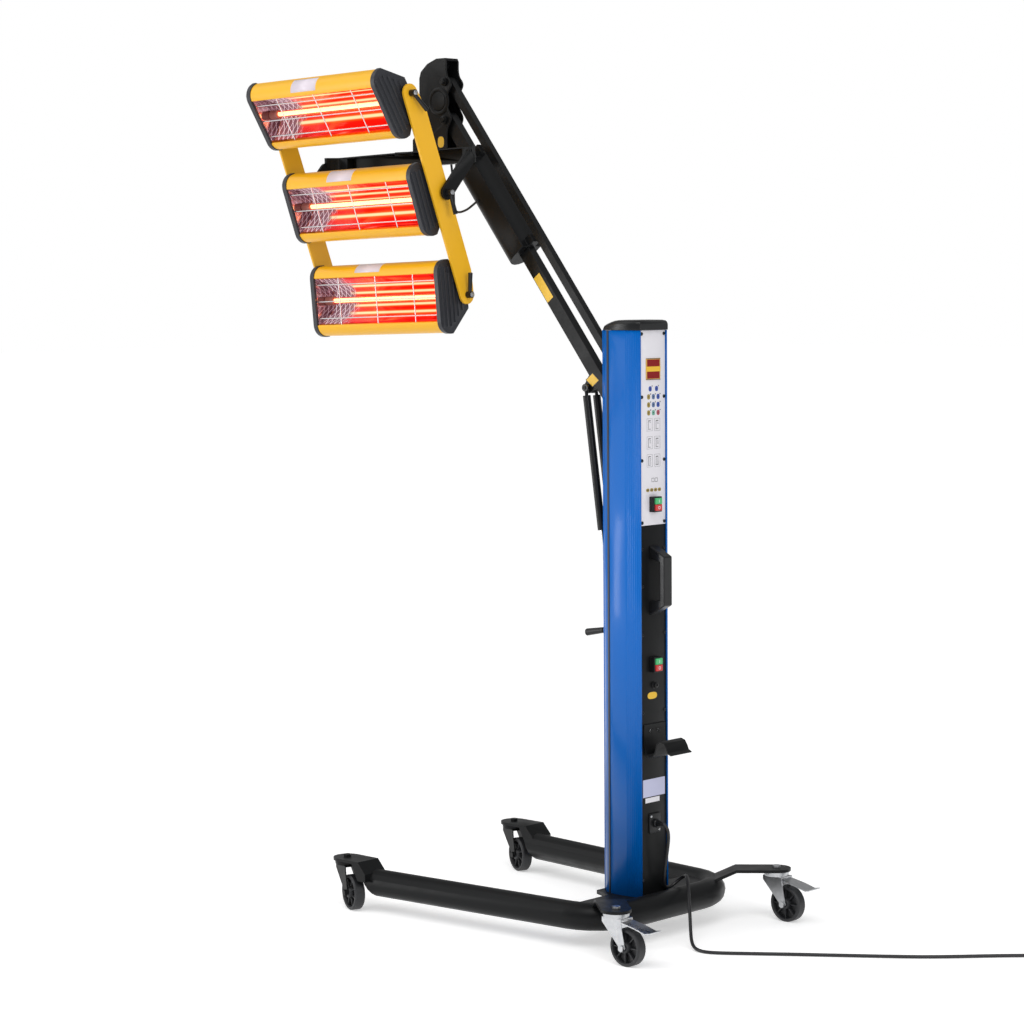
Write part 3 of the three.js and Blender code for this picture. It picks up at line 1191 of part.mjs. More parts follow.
// Fork: swivels on the bracket's upright pin; its arms carry the side bars
const yaw = groupAt(YAW_REACH, 0, -BRACKET_BOTTOM - CLEAR);
bracket.add(yaw);
yaw.rotation.z = HEAD_YAW * DEG;
const forkBarZ = -FORK_BAR_DROP;
const forkPinZ = forkBarZ - FORK_PIN_DROP;
// The crossbar and all that it carries lean a little, the rear end up
const leaned = groupAt(0, 0, 0);
leaned.rotation.y = HEAD_LEAN * DEG;
yaw.add(leaned);

function headFork() {
  const half = FORK_HALF;
  const barBack = FORK_BAR_Y - FORK_BAR_DEPTH / 2;
  const barFront = FORK_BAR_Y + FORK_BAR_DEPTH / 2;
  const low = forkBarZ - FORK_BAR_HEIGHT / 2;
  const high = forkBarZ + FORK_BAR_HEIGHT / 2;
  const cornerY = barBack + FORK_CORNER;
  // Plan of the crossbar, with rounded corners towards the column
  const plan = new THREE.Shape();
  plan.moveTo(half - FORK_ARM_T, cornerY);
  plan.lineTo(half - FORK_BAR_DEPTH, barFront);
  plan.lineTo(-half + FORK_BAR_DEPTH, barFront);
  plan.lineTo(-half + FORK_ARM_T, cornerY);
  plan.absarc(-half + FORK_CORNER, cornerY, FORK_CORNER, Math.PI, Math.PI * 1.5, false);
  plan.absarc(half - FORK_CORNER, cornerY, FORK_CORNER, Math.PI * 1.5, Math.PI * 2, false);
  plan.closePath();
  const crossbar = cut(slabXY(plan, low, high),
    block([-half + FORK_CORNER, barBack + FORK_WALL, low + FORK_WALL],
      [half - FORK_CORNER, barFront + OVERRUN, high - FORK_WALL]));
  const neck = slabXY(stadium([0, 0], [0, FORK_BAR_Y - FORK_WALL], FORK_NECK_WIDTH / 2), -FORK_NECK_T, 0);
  const neckTrimmed = common(neck,
    block([-half, -FORK_NECK_WIDTH, -FORK_NECK_T], [half, barFront - FORK_WALL / 2, 0]));
  const pin = bar([0, 0, -FORK_NECK_T / 2], [0, 0, BRACKET_WALL * 5 + YAW_HEAD_T], YAW_PIN_RADIUS, ROUND);
  const pinTop = CLEAR * 2 + BRACKET_WALL * 4;
  const head = bar([0, 0, pinTop], [0, 0, pinTop + YAW_HEAD_T], YAW_HEAD_RADIUS, ROUND);
  const pinY = FORK_PIN_Y;
  const pinZ = forkPinZ;
  const parts = [crossbar];
  for (const side of [1, -1]) {
    const x0 = side > 0 ? half - FORK_ARM_T : -half;
    const armLine = stadium([cornerY, forkBarZ - FORK_ARM_START_DROP], [pinY, pinZ], FORK_ARM_WIDTH / 2);
    parts.push(slabYZ(armLine, x0, x0 + FORK_ARM_T));
    const inner = side * (LAMP_LENGTH / 2 + CLEAR * 2);
    parts.push(bar([side * (half - FORK_ARM_T / 2), pinY, pinZ], [inner, pinY, pinZ], FORK_PIN_RADIUS,
      ROUND));
    parts.push(bar([side * (half - FORK_ARM_T / 2), pinY, pinZ],
      [side * (BAR_PLANE + BAR_T / 2 + CLEAR), pinY, pinZ], FORK_PIN_RADIUS * 2, ROUND));
  }
  // The front pin ends in a short stub
  parts.push(bar([half - FORK_ARM_T / 2, pinY, pinZ], [half + FORK_STUB_LENGTH, pinY, pinZ], FORK_STUB_RADIUS,
    COARSE));
  const carrier = join(...parts).rotateY(HEAD_LEAN * DEG);
  return join(carrier, neckTrimmed, pin, head);
}

yaw.add(piece('head_fork', headFork(), BLACK_POWDER));

// Frame of side bars, tilting about the fork's pins
const frame = groupAt(0, FORK_PIN_Y, forkPinZ);
frame.rotation.x = -FRAME_TILT * DEG;
leaned.add(frame);
const lampPinY = BAR_PIN_OFFSET;

function sideBar(side) {
  const rear = lampPinY + BAR_END_RADIUS - BAR_WIDTH;
  const end = LAMP_SPACING;
  const outline = new THREE.Shape();
  outline.moveTo(rear, end - BAR_CHAMFER);
  outline.lineTo(rear, -end + BAR_CHAMFER);
  outline.absarc(lampPinY, -end, BAR_END_RADIUS, Math.PI * (2 - BAR_ROUND_SHARE), Math.PI * 2, false);
  outline.absarc(lampPinY, end, BAR_END_RADIUS, 0, Math.PI * BAR_ROUND_SHARE, false);
  outline.closePath();
  const x = side * BAR_PLANE;
  const plate = slabYZ(outline, x - BAR_T / 2, x + BAR_T / 2);
  const holes = [[0, 0, FORK_PIN_RADIUS], [lampPinY, end, LAMP_PIN_RADIUS], [lampPinY, -end, LAMP_PIN_RADIUS]]
    .map(([y, z, radius]) => bar([x - BAR_T, y, z], [x + BAR_T, y, z], radius + CLEAR, ROUND));
  return cut(plate, ...holes);
}

frame.add(piece('side_bar_front', sideBar(1), YELLOW_PAINT));
frame.add(piece('side_bar_rear', sideBar(-1), YELLOW_PAINT));

// Lamp cassette section in Y and Z; inset draws it in all round
function lampSection(inset) {
  const face = LAMP_FACE - inset;
  const half = LAMP_HEIGHT / 2 - inset;
  const back = -LAMP_BACK + inset;
  const backHalf = LAMP_BACK_HALF - inset;
  const radius = LIP_RADIUS - inset;
  const section = new THREE.Shape();
  section.moveTo(back, -backHalf);
  section.lineTo(LAMP_SHOULDER_Y, -half);
  section.absarc(face - radius, -half + radius, radius, -Math.PI / 2, 0, false);
  section.absarc(face - radius, half - radius, radius, 0, Math.PI / 2, false);
  section.lineTo(LAMP_SHOULDER_Y, half);
  section.lineTo(back, backHalf);
  section.closePath();
  return section;
}

const housingHalf = LAMP_LENGTH / 2 - CAP_T;

function lampHousing() {
  const shell = cut(
    slabYZ(lampSection(0), -housingHalf + CLEAR, housingHalf - CLEAR),
    slabYZ(lampSection(LAMP_WALL), -housingHalf - OVERRUN, housingHalf + OVERRUN));
  return cut(shell, block([-housingHalf - OVERRUN, LAMP_FACE - LIP_RADIUS, -LAMP_OPENING / 2],
    [housingHalf + OVERRUN, LAMP_FACE + OVERRUN, LAMP_OPENING / 2]));
}

function lampCap(side, hasStud) {
  const inner = housingHalf;
  const outer = LAMP_LENGTH / 2;
  const plate = slabYZ(lampSection(-CAP_PROUD), inner, outer - CAP_RIB_RISE);
  const parts = [plate];
  const ribSpan = LAMP_FACE + LAMP_BACK * RIB_SPAN_SHARE;
  for (let i = 0; i < CAP_RIBS; i += 1) {
    const y = LAMP_FACE - CAP_RIB_T * RIB_START_SHARE - (i / CAP_RIBS) * ribSpan;
    const reachShare = y > LAMP_SHOULDER_Y ? 1 : (y + LAMP_BACK) / (LAMP_SHOULDER_Y + LAMP_BACK);
    const half = LAMP_BACK_HALF + (LAMP_HEIGHT / 2 - LAMP_BACK_HALF) * reachShare - LIP_RADIUS / 2;
    parts.push(block([outer - CAP_RIB_RISE - OVERRUN / 2, y - CAP_RIB_T / 2, -half],
      [outer, y + CAP_RIB_T / 2, half]));
  }
  const studEnd = BAR_PLANE - BAR_T / 2 - CLEAR;
  let cap = join(...parts);
  if (hasStud) {
    cap = join(cap, bar([outer - OVERRUN, 0, 0], [studEnd, 0, 0], PIVOT_RADIUS, ROUND),
      bar([outer - OVERRUN, 0, 0], [BAR_PLANE + BAR_T / 2 + CLEAR * 2, 0, 0], LAMP_PIN_RADIUS, ROUND));
  } else {
    cap = join(cap, bar([outer - OVERRUN, 0, 0], [studEnd, 0, 0], PIVOT_RADIUS, ROUND));
    cap = cut(cap, bar([outer - OVERRUN * 2, 0, 0], [studEnd + OVERRUN, 0, 0],
      FORK_PIN_RADIUS + CLEAR, ROUND));
  }
  return side > 0 ? cap : mirrorX(cap);
}

function mirrorX(geometry) {
  const mirrored = geometry.clone().scale(-1, 1, 1);
  const index = mirrored.index.array;
  for (let i = 0; i < index.length; i += 3) {
    [index[i], index[i + 1]] = [index[i + 1], index[i]];
  }
  return mirrored;
}

function quartzTube() {
  const half = housingHalf - CLEAR;
  const capLength = QUARTZ_RADIUS * TUBE_CAP_LENGTH_SHARE;
  const capRadius = QUARTZ_RADIUS * TUBE_CAP_SHARE;
  return join(
    bar([-half, QUARTZ_Y, 0], [half, QUARTZ_Y, 0], QUARTZ_RADIUS, COARSE),
    bar([-half, QUARTZ_Y, 0], [-half + capLength, QUARTZ_Y, 0], capRadius, COARSE),
    bar([half - capLength, QUARTZ_Y, 0], [half, QUARTZ_Y, 0], capRadius, COARSE));
}

function wireGuard() {
  const y = LAMP_FACE - GUARD_SETBACK;
  const half = housingHalf - CLEAR * 2;
  const tall = LAMP_OPENING / 2 + CLEAR;
  const wires = [];
  for (let i = 0; i < GUARD_UPRIGHTS; i += 1) {
    const x = half * GUARD_UPRIGHT_SHARE * (i - (GUARD_UPRIGHTS - 1) / 2);
    wires.push(block([x - GUARD_WIRE, y - GUARD_WIRE, -tall], [x + GUARD_WIRE, y + GUARD_WIRE, tall]));
  }
  for (let i = 0; i < GUARD_RAILS; i += 1) {
    const z = tall * GUARD_RAIL_SHARE * (i - (GUARD_RAILS - 1) / 2);
    wires.push(block([-half, y, z - GUARD_WIRE], [half, y + GUARD_WIRE * 2, z + GUARD_WIRE]));
  }
  return join(...wires);
}

const lamps = [
  ['top', LAMP_SPACING, lampPinY, TOP_LAMP_TILT],
  ['middle', 0, 0, MIDDLE_LAMP_TILT],
  ['bottom', -LAMP_SPACING, lampPinY, BOTTOM_LAMP_TILT],
];
for (const [place, z, y, tilt] of lamps) {
  const cassette = groupAt(0, y, z);
  cassette.rotation.x = -tilt * DEG;
  cassette.add(piece(`lamp_${place}_housing`, lampHousing(), YELLOW_PAINT));
  const outerLamp = place !== 'middle';
  cassette.add(piece(`lamp_${place}_cap_front`, lampCap(1, outerLamp), BLACK_PLASTIC));
  cassette.add(piece(`lamp_${place}_cap_rear`, lampCap(-1, outerLamp), BLACK_PLASTIC));
  cassette.add(piece(`lamp_${place}_tube`, quartzTube(), QUARTZ));
  cassette.add(piece(`lamp_${place}_guard`, wireGuard(), WIRE));
  frame.add(cassette);
}

// Clamp levers: hub on the pin's axis (X), grip swept away from it
function clampLever(direction) {
  const away = new THREE.Vector3(...direction).normalize();
  const side = LEVER_HUB_T;
  const hub = bar([0, 0, 0], [-side, 0, 0], LEVER_HUB_RADIUS, ROUND);
  const root = [-side / 2, 0, 0];
  const tipX = -side / 2 - LEVER_LENGTH * Math.sin(LEVER_LEAN * DEG);
  const reach = LEVER_LENGTH * Math.cos(LEVER_LEAN * DEG);
  const tip = [tipX, away.y * reach, away.z * reach];
  return join(hub, bar(root, tip, LEVER_RADIUS * LEVER_TAPER_SHARE, COARSE, LEVER_RADIUS));
}

const barFace = -BAR_PLANE - BAR_T / 2 - CLEAR * 3;
const leverSpots = [
  ['top', LAMP_SPACING, [0, -0.35, -0.94]],
  ['bottom', -LAMP_SPACING, [0, -0.2, 0.98]],
];
for (const [place, z, direction] of leverSpots) {
  const lever = groupAt(barFace, lampPinY, z);
  lever.add(piece(`clamp_lever_${place}`, clampLever(direction), BLACK_PLASTIC));
  frame.add(lever);
}
const forkLever = groupAt(-FORK_HALF - CLEAR, FORK_PIN_Y, forkPinZ);
forkLever.add(piece('clamp_lever_fork', clampLever([0, -0.1, -1]), BLACK_PLASTIC));
leaned.add(forkLever);

// The origin is on the floor, in the middle of the stand without its cord
lamp.updateMatrixWorld(true);
const reach = new THREE.Box3().setFromObject(lamp, true);
const centre = reach.getCenter(new THREE.Vector3());
lamp.position.set(-centre.x, -centre.y, -reach.min.z);
lamp.add(cordMesh, coilMesh, plug);

const standing = new THREE.Group();
standing.add(lamp);

export default standing;
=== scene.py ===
import json
import math

import bmesh
import bpy
from mathutils import Matrix, Vector

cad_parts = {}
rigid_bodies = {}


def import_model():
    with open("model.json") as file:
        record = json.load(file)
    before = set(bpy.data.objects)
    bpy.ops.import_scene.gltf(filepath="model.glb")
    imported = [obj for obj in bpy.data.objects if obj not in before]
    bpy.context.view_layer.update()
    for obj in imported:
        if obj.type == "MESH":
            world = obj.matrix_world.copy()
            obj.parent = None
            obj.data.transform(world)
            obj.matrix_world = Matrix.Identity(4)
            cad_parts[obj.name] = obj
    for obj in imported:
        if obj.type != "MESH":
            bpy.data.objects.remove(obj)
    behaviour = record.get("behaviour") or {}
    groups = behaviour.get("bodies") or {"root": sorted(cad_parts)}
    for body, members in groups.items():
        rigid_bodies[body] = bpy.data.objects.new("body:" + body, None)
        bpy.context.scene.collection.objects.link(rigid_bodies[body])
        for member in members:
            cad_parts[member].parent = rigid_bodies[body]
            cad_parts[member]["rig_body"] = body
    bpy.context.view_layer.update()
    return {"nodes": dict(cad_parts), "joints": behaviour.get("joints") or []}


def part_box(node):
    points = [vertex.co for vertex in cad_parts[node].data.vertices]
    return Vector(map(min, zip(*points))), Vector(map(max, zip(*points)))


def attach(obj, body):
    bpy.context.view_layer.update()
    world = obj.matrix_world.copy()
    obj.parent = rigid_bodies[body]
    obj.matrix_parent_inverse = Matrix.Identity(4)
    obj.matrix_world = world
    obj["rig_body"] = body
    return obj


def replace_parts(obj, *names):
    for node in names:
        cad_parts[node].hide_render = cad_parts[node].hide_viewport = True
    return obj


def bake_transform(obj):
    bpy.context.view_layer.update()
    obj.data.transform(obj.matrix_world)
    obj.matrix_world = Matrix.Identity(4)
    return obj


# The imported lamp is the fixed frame. X is the way the arm reaches, Y is left, Z is up.
# Sizes below are millimetres from the column's own axis on the floor.
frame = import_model()
MM = 0.001


def joint_named(name):
    return next(joint for joint in frame["joints"] if joint["name"] == name)


column_axis = Vector(joint_named("arm_lift")["pos_m"])


def from_column(x, y, z):
    return Vector((column_axis.x + x * MM, column_axis.y + y * MM, z * MM))


# Camera: a long lens at chest height, behind the column and on its left. Its spot is in
# millimetres in the column's frame.
CAMERA_SPOT = (-3651.6, 4233.0, 1322.7)
CAMERA_YAW = math.radians(-46.712)
CAMERA_DOWN = math.radians(4.784)
CAMERA_ROLL = math.radians(-0.415)
CAMERA_LENS = 97.42
SENSOR_WIDTH = 36
VIEW_REACH = 100


def in_scene(name, data):
    made = bpy.data.objects.new(name, data)
    bpy.context.scene.collection.objects.link(made)
    return made


ahead = Vector((
    math.cos(CAMERA_DOWN) * math.cos(CAMERA_YAW),
    math.cos(CAMERA_DOWN) * math.sin(CAMERA_YAW),
    -math.sin(CAMERA_DOWN)))
level = Vector((math.sin(CAMERA_YAW), -math.cos(CAMERA_YAW), 0))
upright = level.cross(ahead)
camera_right = level * math.cos(CAMERA_ROLL) + upright * math.sin(CAMERA_ROLL)
camera_up = upright * math.cos(CAMERA_ROLL) - level * math.sin(CAMERA_ROLL)
camera = in_scene("camera", bpy.data.cameras.new("camera"))
camera.data.lens = CAMERA_LENS
camera.data.sensor_width = SENSOR_WIDTH
camera.data.clip_end = VIEW_REACH
camera.matrix_world = (
    Matrix.Translation(from_column(*CAMERA_SPOT))
    @ Matrix((camera_right, camera_up, -ahead)).transposed().to_4x4())
bpy.context.scene.camera = camera


# Mains cord: round black PVC flex. It hangs from the inlet, passes over the base tube and runs
# along the floor to its spare length, wound in two layers, tied, with the plug lying beside it.
CORD_DIAMETER = 7
INLET_Z = 224
CORD_EXIT_X = -75.3
CORD_FIT = 0.3
CORD_ROUTE = [
    (-82.5, -0.7, 221.5), (-86, -1.7, 216.5), (-88.5, -3, 208), (-88.5, -4, 194),
    (-86, -4.5, 176), (-82.5, -5, 158), (-79, -5.5, 140), (-75.5, -6.5, 122), (-71, -10, 106),
    (-66.5, -17, 94.5), (-63.5, -29, 88), (-64, -41, 88.5), (-68, -51, 95), (-76, -57, 103.5),
    (-87, -57, 110), (-99, -48, 112.5), (-111, -36.5, 110.5), (-123, -24, 104), (-136, -10, 93),
    (-149, 4, 78.5), (-162, 18, 61), (-175, 32, 42.5), (-188, 46, 26), (-201, 59, 14),
    (-216, 70, 7), (-234, 77, 4.2), (-254, 76, 3.6), (-273, 67, 3.6), (-292, 54, 3.6),
    (-315, 36.5, 3.6), (-340, 17.5, 3.6), (-366, -2.5, 3.6), (-393, -23, 3.6), (-420, -43, 3.6),
    (-447, -63, 3.6), (-474, -83, 3.6), (-501, -103, 3.6), (-528, -123, 3.6), (-555, -143.5, 3.6),
    (-582, -165, 3.6), (-608, -188, 3.6), (-633, -212, 3.6), (-657, -237, 3.6), (-680, -261, 3.6),
    (-703, -284, 3.6), (-726, -306, 3.6), (-749, -328, 3.6),
]
COIL_CENTRE = (-754, -409)
COIL_TURNS = 8
COIL_PITCH = 7.9
COIL_INNER_RADIUS = 23.4
COIL_STEPS = 24
COIL_START_ANGLE = math.radians(133.8)
COIL_TAIL = 46
TAIL_SHARES = (0.3, 0.6, 0.85, 1)
TAIL_LIFTED_SHARE = 0.85
CLIMB_TURNS = 0.5
LEAD_IN_DIAMETERS = (4.5, 3, 1.5)
CORD_SECTION_STEPS = 3
CORD_KNOT_STEPS = 3
PLUG_RADIUS = 18
cord_radius = CORD_DIAMETER / 2
coil_outer_radius = COIL_INNER_RADIUS + COIL_PITCH * COIL_TURNS / 2
floor_line = cord_radius + CORD_FIT / 3


def smooth_step(value, low, high):
    share = min(max((value - low) / (high - low), 0), 1)
    return share * share * (3 - 2 * share)


# The way from one point to another along the floor
def floor_way(start, end):
    way = end - start
    way.z = 0
    return way.normalized()


# The first half of the turns spirals in on the floor, the other half spirals out on top of it
def coil_line():
    half_turns = COIL_TURNS / 2
    points = []
    for step in range(COIL_TURNS * COIL_STEPS + 1):
        turns = step / COIL_STEPS
        inward = abs(1 - turns / half_turns)
        radius = COIL_INNER_RADIUS + (coil_outer_radius - COIL_INNER_RADIUS) * inward
        climb = smooth_step(turns, half_turns - CLIMB_TURNS / 2, half_turns + CLIMB_TURNS / 2) * COIL_PITCH
        angle = COIL_START_ANGLE + turns * math.tau
        points.append(Vector((COIL_CENTRE[0] + radius * math.cos(angle),
                              COIL_CENTRE[1] + radius * math.sin(angle), floor_line + climb)))
    onward = floor_way(points[-2], points[-1])
    end = points[-1].copy()
    rise = PLUG_RADIUS + CORD_FIT - end.z
    for share in TAIL_SHARES:
        lift = smooth_step(share, 0, TAIL_LIFTED_SHARE) * rise
        points.append(end + onward * COIL_TAIL * share + Vector((0, 0, lift)))
    return points


coil_points = coil_line()
coil_lead = floor_way(coil_points[1], coil_points[0])
cord_points = [Vector((CORD_EXIT_X - CORD_FIT, 0, INLET_Z)),
               Vector((CORD_EXIT_X - CORD_FIT - cord_radius, 0, INLET_Z))]
cord_points += [Vector(point) for point in CORD_ROUTE]
cord_points += [coil_points[0] + coil_lead * CORD_DIAMETER * share for share in LEAD_IN_DIAMETERS]
cord_points += coil_points
cord_curve = bpy.data.curves.new("mains_cord_sheath", "CURVE")
cord_curve.dimensions = "3D"
cord_curve.bevel_depth = cord_radius * MM
cord_curve.bevel_resolution = CORD_SECTION_STEPS
cord_curve.resolution_u = CORD_KNOT_STEPS
cord_curve.use_fill_caps = True
cord_spline = cord_curve.splines.new("BEZIER")
cord_spline.bezier_points.add(len(cord_points) - 1)
for knot, point in zip(cord_spline.bezier_points, cord_points):
    knot.co = from_column(*point)
    knot.handle_left_type = "AUTO"
    knot.handle_right_type = "AUTO"
mains_cord = in_scene("mains_cord_sheath", cord_curve)


def add_node(tree, kind, inputs=None, **settings):
    node = tree.nodes.new(kind)
    for name, value in settings.items():
        setattr(node, name, value)
    for socket, value in (inputs or {}).items():
        if isinstance(value, bpy.types.NodeSocket):
            tree.links.new(value, node.inputs[socket])
        else:
            node.inputs[socket].default_value = value
    return node


# An sRGB hex colour as the linear colour that a shader takes
def linear(colour):
    parts = [int(colour[i:i + 2], 16) / 255 for i in (1, 3, 5)]
    turned = [p / 12.92 if p <= 0.04045 else ((p + 0.055) / 1.055) ** 2.4 for p in parts]
    return (*turned, 1.0)


# A material with a plain shader, its tree, and Object coordinates to draw patterns in
def start_material(name, colour, roughness, metallic=0.0):
    material = bpy.data.materials.new(name)
    material.use_nodes = True
    tree = material.node_tree
    shader = tree.nodes["Principled BSDF"]
    shader.inputs["Base Color"].default_value = linear(colour)
    shader.inputs["Roughness"].default_value = roughness
    shader.inputs["Metallic"].default_value = metallic
    place = add_node(tree, "ShaderNodeTexCoord").outputs["Object"]
    return material, tree, shader, place


# Sockets of a Mix node for colours: its two colours, and its result
MIX_LOW = 6
MIX_HIGH = 7
MIX_RESULT = 2
GRAIN_STRENGTH = 0.6
WANDER_MM = 40
WANDER_LOW = 0.3
WANDER_HIGH = 0.7


# Fine relief of a given grain, and roughness that wanders a little around its value
def grain(tree, shader, place, grain_mm, depth_mm, spread):
    fine = add_node(tree, "ShaderNodeTexNoise",
                    {"Vector": place, "Scale": 1 / (grain_mm * MM), "Detail": 2.0})
    bump = add_node(tree, "ShaderNodeBump", {
        "Height": fine.outputs["Fac"], "Distance": depth_mm * MM, "Strength": GRAIN_STRENGTH})
    tree.links.new(bump.outputs["Normal"], shader.inputs["Normal"])
    broad = add_node(tree, "ShaderNodeTexNoise",
                     {"Vector": place, "Scale": 1 / (WANDER_MM * MM), "Detail": 3.0})
    middle = shader.inputs["Roughness"].default_value
    wander = add_node(tree, "ShaderNodeMapRange", {
        "Value": broad.outputs["Fac"], "From Min": WANDER_LOW, "From Max": WANDER_HIGH,
        "To Min": middle - spread, "To Max": middle + spread})
    tree.links.new(wander.outputs["Result"], shader.inputs["Roughness"])


# A finish of one colour: its relief as (grain in mm, depth in mm, spread of roughness), and the
# shader's other inputs by their names
def plain_finish(name, colour, roughness, relief=None, metallic=0.0, inputs=None):
    material, tree, shader, place = start_material(name, colour, roughness, metallic)
    for socket, value in (inputs or {}).items():
        shader.inputs[socket].default_value = value
    if relief:
        grain(tree, shader, place, *relief)
    return material


# PVC flex: smooth and slightly waxy, with a faint draw along its length
black_pvc = plain_finish("black_pvc", "#17171a", 0.42, (1.2, 0.02, 0.06))

# The angles past which an edge is shaded sharp and gets rounded, and how near points are merged
SHARP_ANGLE = math.radians(40)
BEVEL_ANGLE = 30
MERGE_DISTANCE = 0.0001


# Puts a finished bmesh in the scene, smooth but at its real edges
def from_bmesh(name, shape, material):
    mesh = bpy.data.meshes.new(name)
    bmesh.ops.recalc_face_normals(shape, faces=shape.faces)
    shape.to_mesh(mesh)
    shape.free()
    for face in mesh.polygons:
        face.use_smooth = True
    mesh.set_sharp_from_angle(angle=SHARP_ANGLE)
    mesh.materials.append(material)
    return in_scene(name, mesh)


# A piece that rides on a body
def new_piece(name, shape, material, body):
    made = from_bmesh(name, shape, material)
    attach(made, body)
    return made


# Small round edges that a real edge has, worked out as a modifier
def round_edges(piece, edge_mm, angle=BEVEL_ANGLE, segments=2):
    bevel = piece.modifiers.new("edges", "BEVEL")
    bevel.width = edge_mm * MM
    bevel.segments = segments
    bevel.limit_method = "ANGLE"
    bevel.angle_limit = math.radians(angle)
    bevel.harden_normals = True
    return piece


# A body of revolution: a profile of (distance along, radius), turned about the line from start
# towards end
def turned(shape, profile, start, end, steps=24, unit=MM):
    along = (end - start).normalized()
    turn = Vector((0, 0, 1)).rotation_difference(along).to_matrix().to_4x4()
    place = Matrix.Translation(start) @ turn
    line = [shape.verts.new((radius * unit, 0, distance * unit)) for distance, radius in profile]
    edges = [shape.edges.new(pair) for pair in zip(line, line[1:])]
    bmesh.ops.spin(shape, geom=line + edges, cent=(0, 0, 0), axis=(0, 0, 1),
                   angle=math.tau, steps=steps, use_merge=True)
    fresh = {v for e in edges if e.is_valid for v in e.verts}
    grown = set(fresh)
    while fresh:
        fresh = {e.other_vert(v) for v in fresh for e in v.link_edges} - grown
        grown |= fresh
    whole = [v for v in shape.verts if v in grown]
    bmesh.ops.remove_doubles(shape, verts=whole, dist=MERGE_DISTANCE * unit)
    bmesh.ops.transform(shape, matrix=place, verts=[v for v in whole if v.is_valid])
    return shape


# A block between two corners, its edges rounded
def add_block(shape, low, high, edge_mm=0.0, segments=2):
    made = bmesh.ops.create_cube(shape, size=1)
    middle = (low + high) / 2
    size = high - low
    place = Matrix.Translation(middle) @ Matrix.Diagonal((*size, 1))
    bmesh.ops.transform(shape, matrix=place, verts=made["verts"])
    if edge_mm:
        edges = list(dict.fromkeys(e for v in made["verts"] for e in v.link_edges))
        bmesh.ops.bevel(shape, geom=edges, offset=edge_mm * MM, affect="EDGES", segments=segments,
                        profile=0.5, material=-1)
    return shape


# A line of points drawn a given way into a sheet, from its last point on to its first if closed
def draw_sheet(shape, points, way, closed=False):
    verts = [shape.verts.new(point) for point in points]
    after = verts[1:] + verts[:1] if closed else verts[1:]
    edges = [shape.edges.new(pair) for pair in zip(verts, after)]
    grown = bmesh.ops.extrude_edge_only(shape, edges=edges)
    moved = [g for g in grown["geom"] if isinstance(g, bmesh.types.BMVert)]
    bmesh.ops.translate(shape, verts=moved, vec=way)
    return shape


mains_cord.data.materials.append(black_pvc)
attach(mains_cord, "stand")
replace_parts(mains_cord, "mains_cord", "mains_cord_coil")


# Tie round the coil: a hook-and-loop strap of thin black nylon, laid flat under the cords, brought
# up on both sides and closed over them.
TIE_ANGLE = math.radians(-60)
TIE_WIDTH = 12
TIE_T = 1.2
TIE_LIFT = 0.1
TIE_SHOULDER_SHARE = 0.75


def coil_tie():
    outward = Vector((math.cos(TIE_ANGLE), math.sin(TIE_ANGLE), 0))
    sideways = Vector((-outward.y, outward.x, 0))
    inner = COIL_INNER_RADIUS - cord_radius - TIE_T
    outer = coil_outer_radius + cord_radius + TIE_T
    top = floor_line + COIL_PITCH + cord_radius + TIE_T
    shoulder = top * TIE_SHOULDER_SHARE
    centre = Vector((*COIL_CENTRE, 0))
    loop = []
    for radius, z in ((inner, TIE_LIFT), (outer, TIE_LIFT), (outer, shoulder), (outer - cord_radius, top),
                      (inner + cord_radius, top), (inner, shoulder)):
        spot = centre + outward * radius + Vector((0, 0, z))
        loop.append(from_column(*(spot - sideways * TIE_WIDTH / 2)))
    shape = draw_sheet(bmesh.new(), loop, sideways * TIE_WIDTH * MM, closed=True)
    bmesh.ops.recalc_face_normals(shape, faces=shape.faces)
    bmesh.ops.solidify(shape, geom=shape.faces[:], thickness=TIE_T * MM)
    return new_piece("coil_tie", shape, black_pvc, "stand")


tie_strap = coil_tie()


# Mains plug: a moulded round body with finger grooves, a bend guard towards the cord and two
# pins. A groove is given as steps along it, with the rise or the share of the radius there.
PLUG_NECK = 16
PLUG_LENGTH = 40
PLUG_PIN_RADIUS = 2.4
PLUG_PIN_LENGTH = 19
PLUG_PIN_SPACING = 19
GUARD_GROOVES = 4
GUARD_GROOVE = [(0, 0), (0.8, -0.9), (1.8, -0.9), (2.4, 0)]
GUARD_WIDENING = 0.8
GRIP_GROOVES = 4
GRIP_GROOVE = [(0, 0.99), (0.8, 0.93), (2, 0.93), (2.8, 0.99)]
GRIP_STEP = 4


